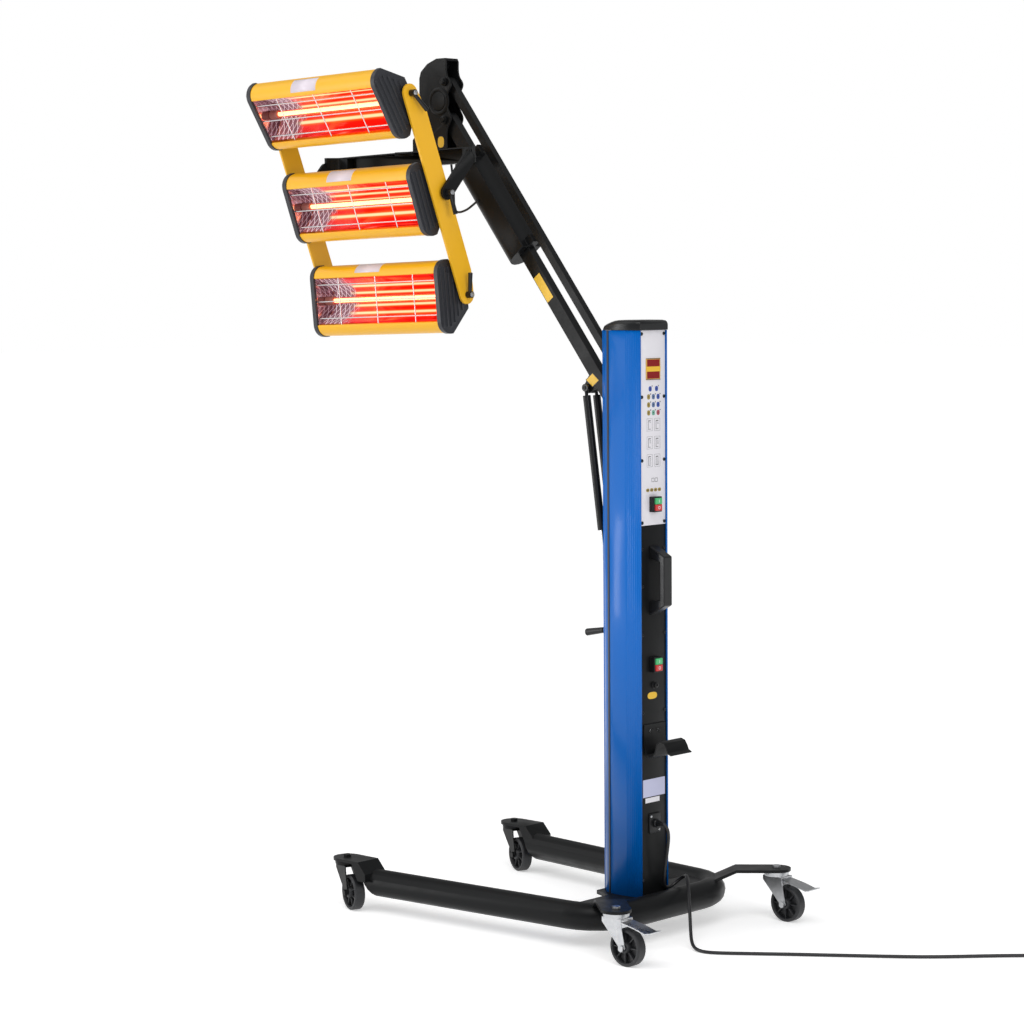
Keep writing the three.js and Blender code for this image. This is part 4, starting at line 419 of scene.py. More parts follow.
def mains_plug():
    aim = floor_way(coil_points[-2], coil_points[-1])
    start = coil_points[-1] + aim * CORD_FIT
    front = PLUG_NECK + PLUG_LENGTH
    profile = [(0, 0), (0, cord_radius * 1.4)]
    for number in range(GUARD_GROOVES):
        along = PLUG_NECK * (0.2 + number * 0.2)
        wide = cord_radius * 1.5 + number * GUARD_WIDENING
        profile += [(along + step, wide + rise) for step, rise in GUARD_GROOVE]
    profile += [(PLUG_NECK * 1.5, PLUG_RADIUS * 0.74), (PLUG_NECK * 1.9, PLUG_RADIUS * 0.96)]
    for number in range(GRIP_GROOVES):
        along = PLUG_NECK * 2.1 + number * GRIP_STEP
        profile += [(along + step, PLUG_RADIUS * share) for step, share in GRIP_GROOVE]
    profile += [(front - 2, PLUG_RADIUS), (front, PLUG_RADIUS * 0.93), (front, 0)]
    shape = turned(bmesh.new(), profile, from_column(*start), from_column(*(start + aim)), 32)
    body = new_piece("plug_body", shape, black_pvc, "stand")
    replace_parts(body, "mains_plug")
    shape = bmesh.new()
    side = Vector((-aim.y, aim.x, 0))
    tip = [(-1, PLUG_PIN_RADIUS), (PLUG_PIN_LENGTH - 2, PLUG_PIN_RADIUS),
           (PLUG_PIN_LENGTH - 0.4, PLUG_PIN_RADIUS * 0.7), (PLUG_PIN_LENGTH, 0)]
    for way in (1, -1):
        root = start + aim * front + side * way * PLUG_PIN_SPACING / 2
        turned(shape, tip, from_column(*root), from_column(*(root + aim)), 12)
    return body, new_piece("plug_pins", shape, zinc_plate, "stand")


SPANGLE_MM = 9


# Zinc-plated steel: bright and slightly blue, with a fine cloudy spangle
def plated_steel():
    material, tree, shader, place = start_material("zinc_plated_steel", "#c3c4c6", 0.3, 1.0)
    cloud = add_node(tree, "ShaderNodeTexNoise",
                     {"Vector": place, "Scale": 1 / (SPANGLE_MM * MM), "Detail": 4.0})
    shade = add_node(tree, "ShaderNodeMix", {
        "Factor": cloud.outputs["Fac"], MIX_LOW: linear("#aeb0b4"), MIX_HIGH: linear("#d2d3d4")},
        data_type="RGBA")
    tree.links.new(shade.outputs[MIX_RESULT], shader.inputs["Base Color"])
    grain(tree, shader, place, 0.9, 0.01, 0.08)
    return material


zinc_plate = plated_steel()
plug_body, plug_pins = mains_plug()


# Studio: a pale floor under wide soft suns, an even pale world, and two soft boxes, the tall one
# in front and to the left, where it draws the long highlight down the column's side.
FLOOR_SIZE = 80
FLOOR_GLOW = 0.4
WORLD_STRENGTH = 0.36
LIGHT_AIM = (150, 0, 900)
SUN_DISTANCE = 5
SUNS = [
    ("high_sun", (-0.45, 0.7, 1.2), 0.95, 40),
    ("side_sun", (0.9, 0.6, 0.9), 0.5, 50),
]
SOFT_BOXES = [
    ("tall_box", (3400, 4100, 1000), (0.9, 4.4), 85),
    ("wide_box", (-4600, 1700, 2400), (2.4, 2.0), 65),
]

shape = bmesh.new()
bmesh.ops.create_grid(shape, x_segments=1, y_segments=1, size=FLOOR_SIZE / 2)
floor_mesh = bpy.data.meshes.new("floor")
shape.to_mesh(floor_mesh)
shape.free()
floor = in_scene("floor", floor_mesh)


# The rays that see the background itself: the camera's, and those in gloss and glass
def background_rays(tree):
    rays = add_node(tree, "ShaderNodeLightPath")
    found = rays.outputs["Is Camera Ray"]
    for kind in ("Is Glossy Ray", "Is Transmission Ray"):
        both = add_node(tree, "ShaderNodeMath", {0: found, 1: rays.outputs[kind]}, operation="MAXIMUM")
        found = both.outputs[0]
    return found


def studio_floor():
    material, tree, shader, place = start_material("studio_paper", "#f4f4f4", 0.9)
    glow = add_node(tree, "ShaderNodeEmission", {"Color": (1, 1, 1, 1), "Strength": FLOOR_GLOW})
    lit = add_node(tree, "ShaderNodeAddShader", {0: shader.outputs[0], 1: glow.outputs[0]})
    mixed = add_node(tree, "ShaderNodeMixShader",
                     {0: background_rays(tree), 1: shader.outputs[0], 2: lit.outputs[0]})
    tree.links.new(mixed.outputs[0], tree.nodes["Material Output"].inputs["Surface"])
    return material


floor.data.materials.append(studio_floor())
world = bpy.data.worlds.new("studio")
world.use_nodes = True
bpy.context.scene.world = world
tree = world.node_tree
even = tree.nodes["Background"]
even.inputs["Color"].default_value = (1, 1, 1, 1)
even.inputs["Strength"].default_value = WORLD_STRENGTH
white = add_node(tree, "ShaderNodeBackground", {"Color": (1, 1, 1, 1), "Strength": 1.0})
seen = add_node(tree, "ShaderNodeLightPath")
sky = add_node(tree, "ShaderNodeMixShader",
               {0: seen.outputs["Is Camera Ray"], 1: even.outputs[0], 2: white.outputs[0]})
tree.links.new(sky.outputs[0], tree.nodes["World Output"].inputs["Surface"])


def add_light(name, kind, spot, power):
    light = bpy.data.lights.new(name, kind)
    light.energy = power
    stand = in_scene(name, light)
    stand.location = spot
    aim = from_column(*LIGHT_AIM) - spot
    stand.rotation_euler = aim.to_track_quat("-Z", "Y").to_euler()
    return light


for name, way, power, spread in SUNS:
    sun = add_light(name, "SUN", from_column(*LIGHT_AIM) + Vector(way) * SUN_DISTANCE, power)
    sun.angle = math.radians(spread)
for name, spot, (width, height), power in SOFT_BOXES:
    box = add_light(name, "AREA", from_column(*spot), power)
    box.shape = "RECTANGLE"
    box.size = width
    box.size_y = height
bpy.context.scene.view_settings.view_transform = "Standard"


# Base: bent round steel tube with welded plates, black powder coat all over.
# Powder coat flows to a fine orange peel that breaks up its soft gloss.
WELD_DISTANCE = 1e-6
FLAT_ANGLE = math.radians(0.5)
black_powder = plain_finish("black_powder_coat", "#151617", 0.36, (1.6, 0.05, 0.06),
                            inputs={"Specular IOR Level": 0.16})


# A copy of a CAD node with its flat faces joined up and its edges rounded, in that node's place
def dressed(node, material, edge_mm, angle=BEVEL_ANGLE):
    shape = bmesh.new()
    shape.from_mesh(frame["nodes"][node].data)
    bmesh.ops.remove_doubles(shape, verts=shape.verts, dist=WELD_DISTANCE)
    bmesh.ops.dissolve_limit(shape, angle_limit=FLAT_ANGLE, verts=shape.verts, edges=shape.edges)
    body = frame["nodes"][node]["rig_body"]
    piece = new_piece(f"{node}_finished", shape, material, body)
    round_edges(piece, edge_mm, angle)
    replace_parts(piece, node)
    return piece


dressed("base_frame", black_powder, 0.8)

# Casters: pressed steel forks, black at the front and zinc at the rear with a brake pedal each.
# The wheels are moulded nylon with ribs and a plain tread, dark grey with the mould's fine texture.
CASTERS = ["front_left", "front_right", "rear_left", "rear_right"]
WHEEL_RADIUS = 37.5
WHEEL_HALF = 14
TREAD_SETBACK = 2.5
TREAD_ROUND = 2.5
RIM_DEPTH = 7
HUB_RADIUS = 11
AXLE_RADIUS = 4
SPOKES = 8
SPOKE_T = 2.4
SPOKE_EDGE = 0.5
WEB_HALF = 2
black_nylon = plain_finish("moulded_nylon", "#202124", 0.5, (0.8, 0.03, 0.07))


def caster_wheel(place):
    joint = joint_named(f"wheel_{place}_spin")
    hub = Vector(joint["pos_m"])
    along = Vector(joint["axis"]).normalized()
    rim = WHEEL_RADIUS - RIM_DEPTH
    tread = WHEEL_HALF - TREAD_SETBACK
    reach = tread - TREAD_SETBACK
    half = [(WHEEL_HALF, AXLE_RADIUS), (WHEEL_HALF, HUB_RADIUS - 1), (WHEEL_HALF - 1, HUB_RADIUS),
            (WEB_HALF, HUB_RADIUS + 1), (WEB_HALF, rim - 1), (tread - 1, rim), (tread, rim + 1),
            (tread, WHEEL_RADIUS - TREAD_ROUND), (tread - TREAD_ROUND, WHEEL_RADIUS)]
    profile = [(-x, radius) for x, radius in half] + half[::-1] + [(-WHEEL_HALF, AXLE_RADIUS)]
    shape = turned(bmesh.new(), profile, hub, hub + along, 48)
    turn = Vector((0, 0, 1)).rotation_difference(along).to_matrix().to_4x4()
    for number in range(SPOKES):
        rib = add_block(bmesh.new(), Vector((HUB_RADIUS - 1, -SPOKE_T / 2, -reach)) * MM,
                        Vector((rim + 1, SPOKE_T / 2, reach)) * MM, SPOKE_EDGE)
        spin = Matrix.Rotation(number / SPOKES * math.tau, 4, "Z")
        bmesh.ops.transform(rib, matrix=Matrix.Translation(hub) @ turn @ spin, verts=rib.verts)
        patch = bpy.data.meshes.new("rib")
        rib.to_mesh(patch)
        rib.free()
        shape.from_mesh(patch)
        bpy.data.meshes.remove(patch)
    wheel = new_piece(f"wheel_{place}_moulding", shape, black_nylon, f"wheel_{place}")
    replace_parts(wheel, f"caster_wheel_{place}")


for place in CASTERS:
    rear = place.startswith("rear")
    dressed(f"caster_fork_{place}", zinc_plate if rear else black_powder,
            0.6)
    caster_wheel(place)
    if rear:
        dressed(f"brake_pedal_{place}", zinc_plate, 0.5)

# Column: two extruded aluminium shells, blue powder coat under a thin clear one, drawn with fine
# upright flutes beside the rear panels. A dark trim strip is pressed into the groove near the front.
COLUMN_DEPTH = 113
COLUMN_HALF_WIDTH = 52
COLUMN_REAR_HALF = 41.5
COLUMN_SLOT_HALF = 24
COLUMN_BASE_Z = 77
COLUMN_TOP_Z = 1221
SHELL_WALL = 3
COLUMN_OUTLINE_SHARES = [
    (-0.4, 0.9), (-0.25, 0.965), (-0.05, 1), (0.12, 0.99), (0.25, 0.93), (0.33, 0.84), (0.39, 0.72),
    (0.43, 0.58)]
OUTLINE_STEPS = 14
FLUTE_DEPTH = 0.7
FLUTE_PITCH = 4.2
FLUTED_SHARE = 0.26
GROOVE_AFTER = 4.5
GROOVE_WIDTH = 6.4
GROOVE_DEPTH = 1.6
TRIM_SUNK = 0.4


blue_powder = plain_finish(
    "blue_powder_coat", "#0068c4", 0.3, (1.4, 0.006, 0.02),
    inputs={"Specular IOR Level": 0.18, "Coat Weight": 0.25, "Coat Roughness": 0.14})
# Pressed-in trim: dark grey rubber with a slight sheen
black_rubber = plain_finish("trim_rubber", "#3a3f4a", 0.45, (1.5, 0.02, 0.06))


# A smooth line through given points, with even steps between each two
def smooth_line(points, steps):
    padded = [points[0] * 2 - points[1], *points, points[-1] * 2 - points[-2]]
    line = []
    for a, b, c, d in zip(padded, padded[1:], padded[2:], padded[3:]):
        for step in range(steps):
            t = step / steps
            line.append(((b * 2) + (c - a) * t + (a * 2 - b * 5 + c * 4 - d) * t * t
                         + (b * 3 - a - c * 3 + d) * t ** 3) / 2)
    return line + [points[-1]]


# The shell's outline from the rear edge to the front slot, smooth, then with its flutes and groove
def shell_outline():
    rear = Vector((-COLUMN_DEPTH / 2, COLUMN_REAR_HALF))
    shares = [Vector((x * COLUMN_DEPTH, y * COLUMN_HALF_WIDTH)) for x, y in COLUMN_OUTLINE_SHARES]
    front = Vector((COLUMN_DEPTH / 2, COLUMN_SLOT_HALF + SHELL_WALL))
    line = smooth_line([rear, *shares, front], OUTLINE_STEPS)
    spots = [0.0]
    for before, here in zip(line, line[1:]):
        spots.append(spots[-1] + (here - before).length)
    groove_spot = spots[round(GROOVE_AFTER * OUTLINE_STEPS)]
    drawn = []
    trim = []
    for spot, before, here, after in zip(spots, [line[0], *line], line, [*line[1:], line[-1]]):
        outward = Vector((before.y - after.y, after.x - before.x)).normalized()
        dip = 0
        if spot < spots[-1] * FLUTED_SHARE:
            dip = FLUTE_DEPTH * (0.5 - 0.5 * math.cos(spot / FLUTE_PITCH * math.tau))
        if abs(spot - groove_spot) < GROOVE_WIDTH / 2:
            dip = GROOVE_DEPTH
            trim.append(here - outward * TRIM_SUNK)
        drawn.append(here - outward * dip)
    return drawn, trim


# A sheet gets its wall: behind its surface, or before it where the offset is 1
def give_wall(piece, thickness, offset=-1):
    wall = piece.modifiers.new("wall", "SOLIDIFY")
    wall.thickness = thickness * MM
    wall.offset = offset
    return piece


# A line in plan drawn upwards as a sheet of one thickness
def upright_sheet(name, line, side, thickness, material):
    corners = [from_column(p.x, side * p.y, COLUMN_BASE_Z) for p in line]
    shape = draw_sheet(bmesh.new(), corners, (0, 0, (COLUMN_TOP_Z - COLUMN_BASE_Z) * MM))
    if shape.faces[:][0].normal.dot(Vector((0, side, 0))) < 0:
        bmesh.ops.reverse_faces(shape, faces=shape.faces)
    return give_wall(new_piece(name, shape, material, "stand"), thickness)


def column_shell(name, side):
    drawn, trim = shell_outline()
    shell = upright_sheet(f"{name}_extrusion", drawn, side, SHELL_WALL, blue_powder)
    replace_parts(shell, name)
    upright_sheet(f"{name}_trim", trim, side, GROOVE_DEPTH - TRIM_SUNK, black_rubber)


column_shell("column_shell_left", 1)
column_shell("column_shell_right", -1)
dressed("column_spine", black_powder, 0.6)


# Cap on the column, moulded in glass-filled nylon with a fine spark-eroded grain. The same
# plastic makes the other covers, grips and knobs, and a greyer copy, lightened as painted highlight on the
# ribs, the ribbed lamp caps.
def satin_plastic(name, colour):
    return plain_finish(name, colour, 0.32, (0.7, 0.03, 0.05), inputs={"Specular IOR Level": 0.35})


black_plastic = satin_plastic("satin_black_plastic", "#161719")
# A lighter copy of the black plastic: its grey stands in for painted highlights on the rib tops
highlit_rib_plastic = satin_plastic("ribbed_plastic_painted_highlight", "#323338")
dressed("column_cap", black_plastic, 1.2, 50)

# Rear panels: a white membrane keypad above, a black powder-coated steel sheet below, both
# screwed to the shells. The keypad's printing is a thin ink layer.
PANEL_X = -54
PANEL_T = 2.5
PANEL_EDGE = 0.5
PANEL_HALF = 38
PANEL_SPLIT_Z = 830
PANEL_GAP = 0.3
INK_T = 0.15
SCREW_RADIUS = 3.6
SCREW_RISE = 1.6
SOCKET_SHARE = 0.5
DISPLAY_WIDTH = 44
DISPLAY_HEIGHT = 43
DISPLAY_Z = 1143.5
DISPLAY_RISE = 1.5
DISPLAY_LINE = 1.2
PRINT_Y = -1.5
WINDOW_INSET = 3
WINDOW_HEIGHT = 14
WINDOW_GAP = 10
KEY_WIDTH = 9.5
KEY_HEIGHT = 10.5
KEY_MARK_SHARES = ((0.36, 0.1), (0.1, 0.36))
LED_DIAMETER = 2.6
LED_SHARES = (0.62, 0.52)
SCREW_Y = 34
PANEL_SCREW_ROWS = (1214, 1088, 961, 836, 783, 708, 610, 452, 110)
KEY_ROWS = [
    (1104, ((9.8, "blue"), (-9.8, "blue"))),
    (1088, ((14.6, "ochre"), (0, "grey_blue"), (-14.6, "blue"))),
    (1072, ((14.6, "ochre"), (0, "grey_blue"), (-14.6, "blue"))),
    (1056, ((14.6, "ochre"), (0, "green"), (-14.6, "red"))),
]
PICTOGRAM_ROWS = (1032, 996, 960)
PICTOGRAM_COLUMNS = (11.8, -11.8)
PICTOGRAM_WIDTH = 17
PICTOGRAM_HEIGHT = 25
PICTOGRAM_LINE = 0.35
MAST_SIDE = 3.74
STAND_BARS = [(0, 0, 0.9, 17.5), (-3, -8.75, 8, 0.9), (-3.5, 8, 7, 1.6)]
RAY_BAR = (-5.5, 4.5, 4.5, 0.6)
RAY_STEP = 2.4
SIGN_SPOTS = (2, -8)
SIGN_Z = 921
SIGN_SIZE = 8
SIGN_LINE = 0.8
OVAL_SPOTS = (18, 6, -6, -18)
OVALS_Z = 901
OVAL_SIZE = (10, 7)
OVAL_MARK = (4.5, 1.6)
OVAL_POWER = 0.75
PANEL_COLOURS = {
    "white": ("#eceaf0", 0.35), "lilac": ("#c9cbe8", 0.35), "ochre": ("#a08a3a", 0.4),
    "grey_blue": ("#5a74a0", 0.4), "blue": ("#2f4fa8", 0.4), "red": ("#b04a5a", 0.4),
    "green": ("#6fae9a", 0.4), "yellow": ("#f2c230", 0.4), "tan": ("#d2a453", 0.45),
    "dark_ink": ("#2b2d33", 0.5),
}


# Printed polyester film: even, slightly glossy, with a fine matt texture
def film(name, colour, roughness):
    return plain_finish(name, colour, roughness, (0.6, 0.01, 0.04))


ink = {name: film(f"{name}_film", *finish) for name, finish in PANEL_COLOURS.items()}
# Dark red filter glass over the digits, faintly lit from behind
red_window = plain_finish("red_filter_glass", "#6a0a0a", 0.15, inputs={
    "Specular IOR Level": 0.2, "Emission Color": linear("#8b0a0a"), "Emission Strength": 0.35})


# A flat plate given by its corners, made thick along a given way
def add_plate(shape, corners, thick):
    made = bmesh.ops.contextual_create(shape, geom=[shape.verts.new(corner) for corner in corners])
    grown = bmesh.ops.extrude_face_region(shape, geom=made["faces"])
    moved = [g for g in grown["geom"] if isinstance(g, bmesh.types.BMVert)]
    bmesh.ops.translate(shape, verts=moved, vec=thick)
    return shape


# A flat shape given by its outline in Y and Z, made thick along X between two values
def add_flat(shape, outline, x_rear, x_front):
    corners = [from_column(x_front, y, z) for y, z in outline]
    return add_plate(shape, corners, Vector((x_rear - x_front, 0, 0)) * MM)


def rectangle(y, z, width, height):
    return [(y - width / 2, z - height / 2), (y + width / 2, z - height / 2),
            (y + width / 2, z + height / 2), (y - width / 2, z + height / 2)]


# A fuller oval than an ellipse, as printed keys have
def oval(y, z, width, height, steps=20):
    outline = []
    for step in range(steps):
        angle = step / steps * math.tau
        c, s = math.cos(angle), math.sin(angle)
        outline.append((y + width / 2 * math.copysign(abs(c) ** OVAL_POWER, c),
                        z + height / 2 * math.copysign(abs(s) ** OVAL_POWER, s)))
    return outline


# A pan-head screw with a hexagon socket, pointing out of a surface
def add_screw(shape, spot, outward, radius=SCREW_RADIUS, rise=SCREW_RISE):
    profile = [(-0.5, radius), (rise * 0.4, radius), (rise * 0.85, radius * 0.85), (rise, radius * 0.62),
               (rise, radius * SOCKET_SHARE), (rise * 0.3, radius * SOCKET_SHARE), (rise * 0.3, 0)]
    return turned(shape, profile, spot, spot + outward, 18)


# A hexagon bolt head on a washer, pointing out of a surface
def add_bolt(shape, spot, outward, size):
    washer = [(-0.5, 0), (-0.5, size), (1, size), (1.4, size * 0.94), (1.4, 0)]
    turned(shape, washer, spot, spot + outward, 24)
    head = [(1.3, 0), (1.3, size * 0.74), (size * 0.6, size * 0.74), (size * 0.7, size * 0.62),
            (size * 0.7, 0)]
    return turned(shape, head, spot, spot + outward, 6)


rearward = Vector((-1, 0, 0))
leftward = Vector((0, 1, 0))


def rear_panels():
    shape = add_block(bmesh.new(), from_column(PANEL_X, -PANEL_HALF, PANEL_SPLIT_Z + PANEL_GAP),
                      from_column(PANEL_X + PANEL_T, PANEL_HALF, COLUMN_TOP_Z), PANEL_EDGE)
    sheet = new_piece("keypad_sheet", shape, ink["white"], "stand")
    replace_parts(sheet, "control_panel")
    low = from_column(PANEL_X - DISPLAY_RISE, -DISPLAY_WIDTH / 2, DISPLAY_Z - DISPLAY_HEIGHT / 2)
    high = from_column(PANEL_X, DISPLAY_WIDTH / 2, DISPLAY_Z + DISPLAY_HEIGHT / 2)
    shape = add_block(bmesh.new(), low, high, PANEL_EDGE)
    new_piece("display_plate", shape, ink["tan"], "stand")
    face = PANEL_X - DISPLAY_RISE
    shape = bmesh.new()
    for way in (1, -1):
        middle = DISPLAY_Z + way * (WINDOW_HEIGHT + WINDOW_GAP) / 2
        add_flat(shape, rectangle(0, middle, DISPLAY_WIDTH - WINDOW_INSET * 2, WINDOW_HEIGHT),
                 face - INK_T, face)
    new_piece("display_windows", shape, red_window, "stand")
    print_ink("display_band", "yellow", [rectangle(0, DISPLAY_Z, DISPLAY_WIDTH, WINDOW_GAP)], face)
    middles = [DISPLAY_Z + way * (DISPLAY_HEIGHT - DISPLAY_LINE) / 2 for way in (1, -1)]
    lines = [rectangle(0, middle, DISPLAY_WIDTH, DISPLAY_LINE) for middle in middles]
    print_ink("display_lines", "dark_ink", lines, face)
    shape = add_block(bmesh.new(), from_column(PANEL_X, -PANEL_HALF, COLUMN_BASE_Z),
                      from_column(PANEL_X + PANEL_T, PANEL_HALF, PANEL_SPLIT_Z - PANEL_GAP), PANEL_EDGE)
    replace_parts(new_piece("rear_sheet", shape, black_powder, "stand"), "lower_panel")
    shape = bmesh.new()
    for z in PANEL_SCREW_ROWS:
        for y in (SCREW_Y, -SCREW_Y):
            add_screw(shape, from_column(PANEL_X, y, z), rearward)
    new_piece("panel_screws", shape, black_plastic, "stand")


# Ink shapes of one colour, all on the keypad sheet
def print_ink(name, colour, outlines, x_front=PANEL_X):
    shape = bmesh.new()
    for outline in outlines:
        add_flat(shape, outline, x_front - INK_T, x_front)
    return new_piece(name, shape, ink[colour], "stand")


# A frame drawn as four bars
def outline_bars(y, z, width, height, line):
    side, up = (width - line) / 2, (height - line) / 2
    return ([rectangle(y, z + way * up, width, line) for way in (1, -1)]
            + [rectangle(y + way * side, z, line, height) for way in (1, -1)])


# A small drawing in a thin frame: a stand with a lamp on it, and some rays before it
def pictogram(y, z, rays):
    mast = y + MAST_SIDE
    across, up, width, height = RAY_BAR
    bars = outline_bars(y, z, PICTOGRAM_WIDTH, PICTOGRAM_HEIGHT, PICTOGRAM_LINE)
    bars += [rectangle(mast + dy, z + dz, wide, tall) for dy, dz, wide, tall in STAND_BARS]
    bars += [rectangle(mast + across, z + up - number * RAY_STEP, width, height) for number in range(rays)]
    return bars


def keypad_print():
    by_colour = {name: [] for name in PANEL_COLOURS}
    dark = []
    for z, keys in KEY_ROWS:
        for y, colour in keys:
            by_colour[colour].append(oval(PRINT_Y + y, z, KEY_WIDTH, KEY_HEIGHT))
            dark.append(oval(PRINT_Y + y - KEY_WIDTH * LED_SHARES[0], z + KEY_HEIGHT * LED_SHARES[1],
                             LED_DIAMETER, LED_DIAMETER, 10))
            for wide, tall in KEY_MARK_SHARES:
                dark.append(rectangle(PRINT_Y + y, z, KEY_WIDTH * wide, KEY_HEIGHT * tall))
    for y in OVAL_SPOTS:
        by_colour["ochre"].append(oval(PRINT_Y + y, OVALS_Z, *OVAL_SIZE))
        dark.append(rectangle(PRINT_Y + y, OVALS_Z, *OVAL_MARK))
    for name in ("ochre", "grey_blue", "blue", "red", "green"):
        print_ink(f"keys_{name}", name, by_colour[name])
    print_ink("key_marks", "dark_ink", dark, PANEL_X - INK_T)
    bars = []
    for row, z in enumerate(PICTOGRAM_ROWS):
        for column, y in enumerate(PICTOGRAM_COLUMNS):
            bars += pictogram(PRINT_Y + y, z, 1 + row * 2 + column)
    for y in SIGN_SPOTS:
        bars += outline_bars(PRINT_Y + y, SIGN_Z, SIGN_SIZE, SIGN_SIZE, SIGN_LINE)
    print_ink("pictograms", "dark_ink", bars)


rear_panels()
keypad_print()

# Labels on the lower sheet, printed film that is left bare: a yellow oval one, and a rating
# plate with a tab under it. Each is given by its middle, width and height.
YELLOW_LABEL = (4.5, 485, 29, 14)
RATING_PLATE = (0, 297, 68, 36)
RATING_TAB = (5, 272, 44, 10)
print_ink("yellow_label", "yellow", [oval(*YELLOW_LABEL)])
print_ink("rating_plate", "lilac", [rectangle(*RATING_PLATE)])
print_ink("rating_tab", "white", [rectangle(*RATING_TAB)], PANEL_X - INK_T)


# Switches: black moulded boxes screwed to the lower sheet, each with a green and a red push
# button, glossier than the box and marked I and O.
I_MARK = Vector((0.2, 0.6, 3)) * MM
O_MARK = [(-0.2, 2.2), (0.2, 2.2), (0.2, 3.2), (-0.2, 3.2), (-0.2, 2.2)]


def button_plastic(name, colour):
    return plain_finish(name, colour, 0.32, (0.8, 0.015, 0.04))


green_button = button_plastic("green_button_plastic", "#4fbf78")
red_button = button_plastic("red_button_plastic", "#d33a3a")
for place in ("upper", "lower"):
    dressed(f"{place}_switch_housing", black_plastic, 1.0)
    dressed(f"{place}_on_button", green_button, 0.9)
    dressed(f"{place}_off_button", red_button, 0.9)
    for name in ("on", "off"):
        low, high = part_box(f"{place}_{name}_button")
        spot = Vector((low.x, (low.y + high.y) / 2, (low.z + high.z) / 2))
        if name == "on":
            shape = add_block(bmesh.new(), spot - I_MARK, spot + I_MARK)
        else:
            shape = turned(bmesh.new(), O_MARK, spot, spot + rearward * MM, 20)
        new_piece(f"{place}_{name}_mark", shape, ink["white"], f"{place}_{name}")

# Small parts of the column's rear, moulded or bent and held by screws: handle, cord hook, fuse
# cap with its grip ribs, and the inlet with its tapered bend guard.
FUSE_Z = 506
FUSE_RADIUS = 7
FUSE_LENGTH = 9
FUSE_RIBS = 16
RIB_HALF = 0.45
HOOK_SCREWS = (12, -12)
HOOK_SCREW_Z = 414
HOOK_T = 2.5
GLAND_RADIUS = 9
GLAND_LENGTH = 18
GUARD_RIBS = 5
GUARD_RIB_DEPTH = 1.1
INLET_FLANGE_T = 3
INLET_WIDTH = 34
INLET_HEIGHT = 40
INLET_SCREW_SHARE = 0.36
dressed("carry_handle", black_plastic, 2.5, 25)
dressed("cord_hook", black_powder, 0.8)


def fuse_holder():
    base = from_column(PANEL_X - PANEL_GAP, 0, FUSE_Z)
    profile = [(0, 0), (0, FUSE_RADIUS), (2, FUSE_RADIUS), (2.6, FUSE_RADIUS * 0.8),
               (FUSE_LENGTH * 0.9, FUSE_RADIUS * 0.74), (FUSE_LENGTH - PANEL_GAP, FUSE_RADIUS * 0.6),
               (FUSE_LENGTH - PANEL_GAP, FUSE_RADIUS * 0.35), (FUSE_LENGTH * 0.75, FUSE_RADIUS * 0.3),
               (FUSE_LENGTH * 0.75, 0)]
    shape = turned(bmesh.new(), profile, base, base + rearward, 32)
    for number in range(FUSE_RIBS):
        angle = number / FUSE_RIBS * math.tau
        out = Vector((0, math.cos(angle), math.sin(angle)))
        spot = base + out * FUSE_RADIUS * 0.76 * MM
        add_block(shape, spot + Vector((-FUSE_LENGTH * 0.85, -RIB_HALF, -RIB_HALF)) * MM,
                  spot + Vector((-2.4, RIB_HALF, RIB_HALF)) * MM, 0.15, 1)
    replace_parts(new_piece("fuse_knob", shape, black_plastic, "stand"), "fuse_cap")


def inlet():
    face = PANEL_X - PANEL_GAP
    low = from_column(face - INLET_FLANGE_T, -INLET_WIDTH / 2, INLET_Z - INLET_HEIGHT / 2)
    high = from_column(face, INLET_WIDTH / 2, INLET_Z + INLET_HEIGHT / 2)
    shape = add_block(bmesh.new(), low, high, 1.2, 3)
    root = from_column(face - INLET_FLANGE_T, 0, INLET_Z)
    reach = GLAND_LENGTH
    profile = [(-1, 0), (-1, GLAND_RADIUS), (reach * 0.28, GLAND_RADIUS), (reach * 0.33, GLAND_RADIUS * 0.86)]
    for number in range(GUARD_RIBS):
        share = 0.36 + number * 0.12
        wide = GLAND_RADIUS * (0.84 - number * 0.075)
        profile += [(reach * share, wide), (reach * (share + 0.06), wide),
                    (reach * (share + 0.07), wide - GUARD_RIB_DEPTH),
                    (reach * (share + 0.11), wide - GUARD_RIB_DEPTH)]
    profile += [(reach * 0.97, GLAND_RADIUS * 0.48), (reach, GLAND_RADIUS * 0.43), (reach, 0)]
    turned(shape, profile, root, root + rearward, 28)
    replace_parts(new_piece("inlet_gland", shape, black_plastic, "stand"), "power_inlet")
    shape = bmesh.new()
    for way in (1, -1):
        add_screw(shape, from_column(face - INLET_FLANGE_T, way * INLET_WIDTH * INLET_SCREW_SHARE,
                                     INLET_Z + way * INLET_HEIGHT * INLET_SCREW_SHARE), rearward, 2.6, 1.2)
    for y in HOOK_SCREWS:
        add_screw(shape, from_column(face - HOOK_T, y, HOOK_SCREW_Z), rearward, 4, 2)
    new_piece("small_screws", shape, zinc_plate, "stand")


fuse_holder()
inlet()


# A round tube swept through points, for wires, cables and pressed ribs
def add_tube(shape, points, radius, sides=8, unit=MM):
    rings = []
    for number, here in enumerate(points):
        before = points[max(number - 1, 0)]
        after = points[min(number + 1, len(points) - 1)]
        tangent = (after - before).normalized()
        if rings:
            across = (across - tangent * across.dot(tangent)).normalized()
        else:
            across = tangent.orthogonal().normalized()
        other = tangent.cross(across)
        rings.append([shape.verts.new(here + (across * math.cos(a) + other * math.sin(a)) * radius * unit)
                      for a in (side / sides * math.tau for side in range(sides))])
    for low, high in zip(rings, rings[1:]):
        for side in range(sides):
            shape.faces.new((low[side], low[(side + 1) % sides], high[(side + 1) % sides], high[side]))
    shape.faces.new(rings[0][::-1])
    shape.faces.new(rings[-1])
    return shape


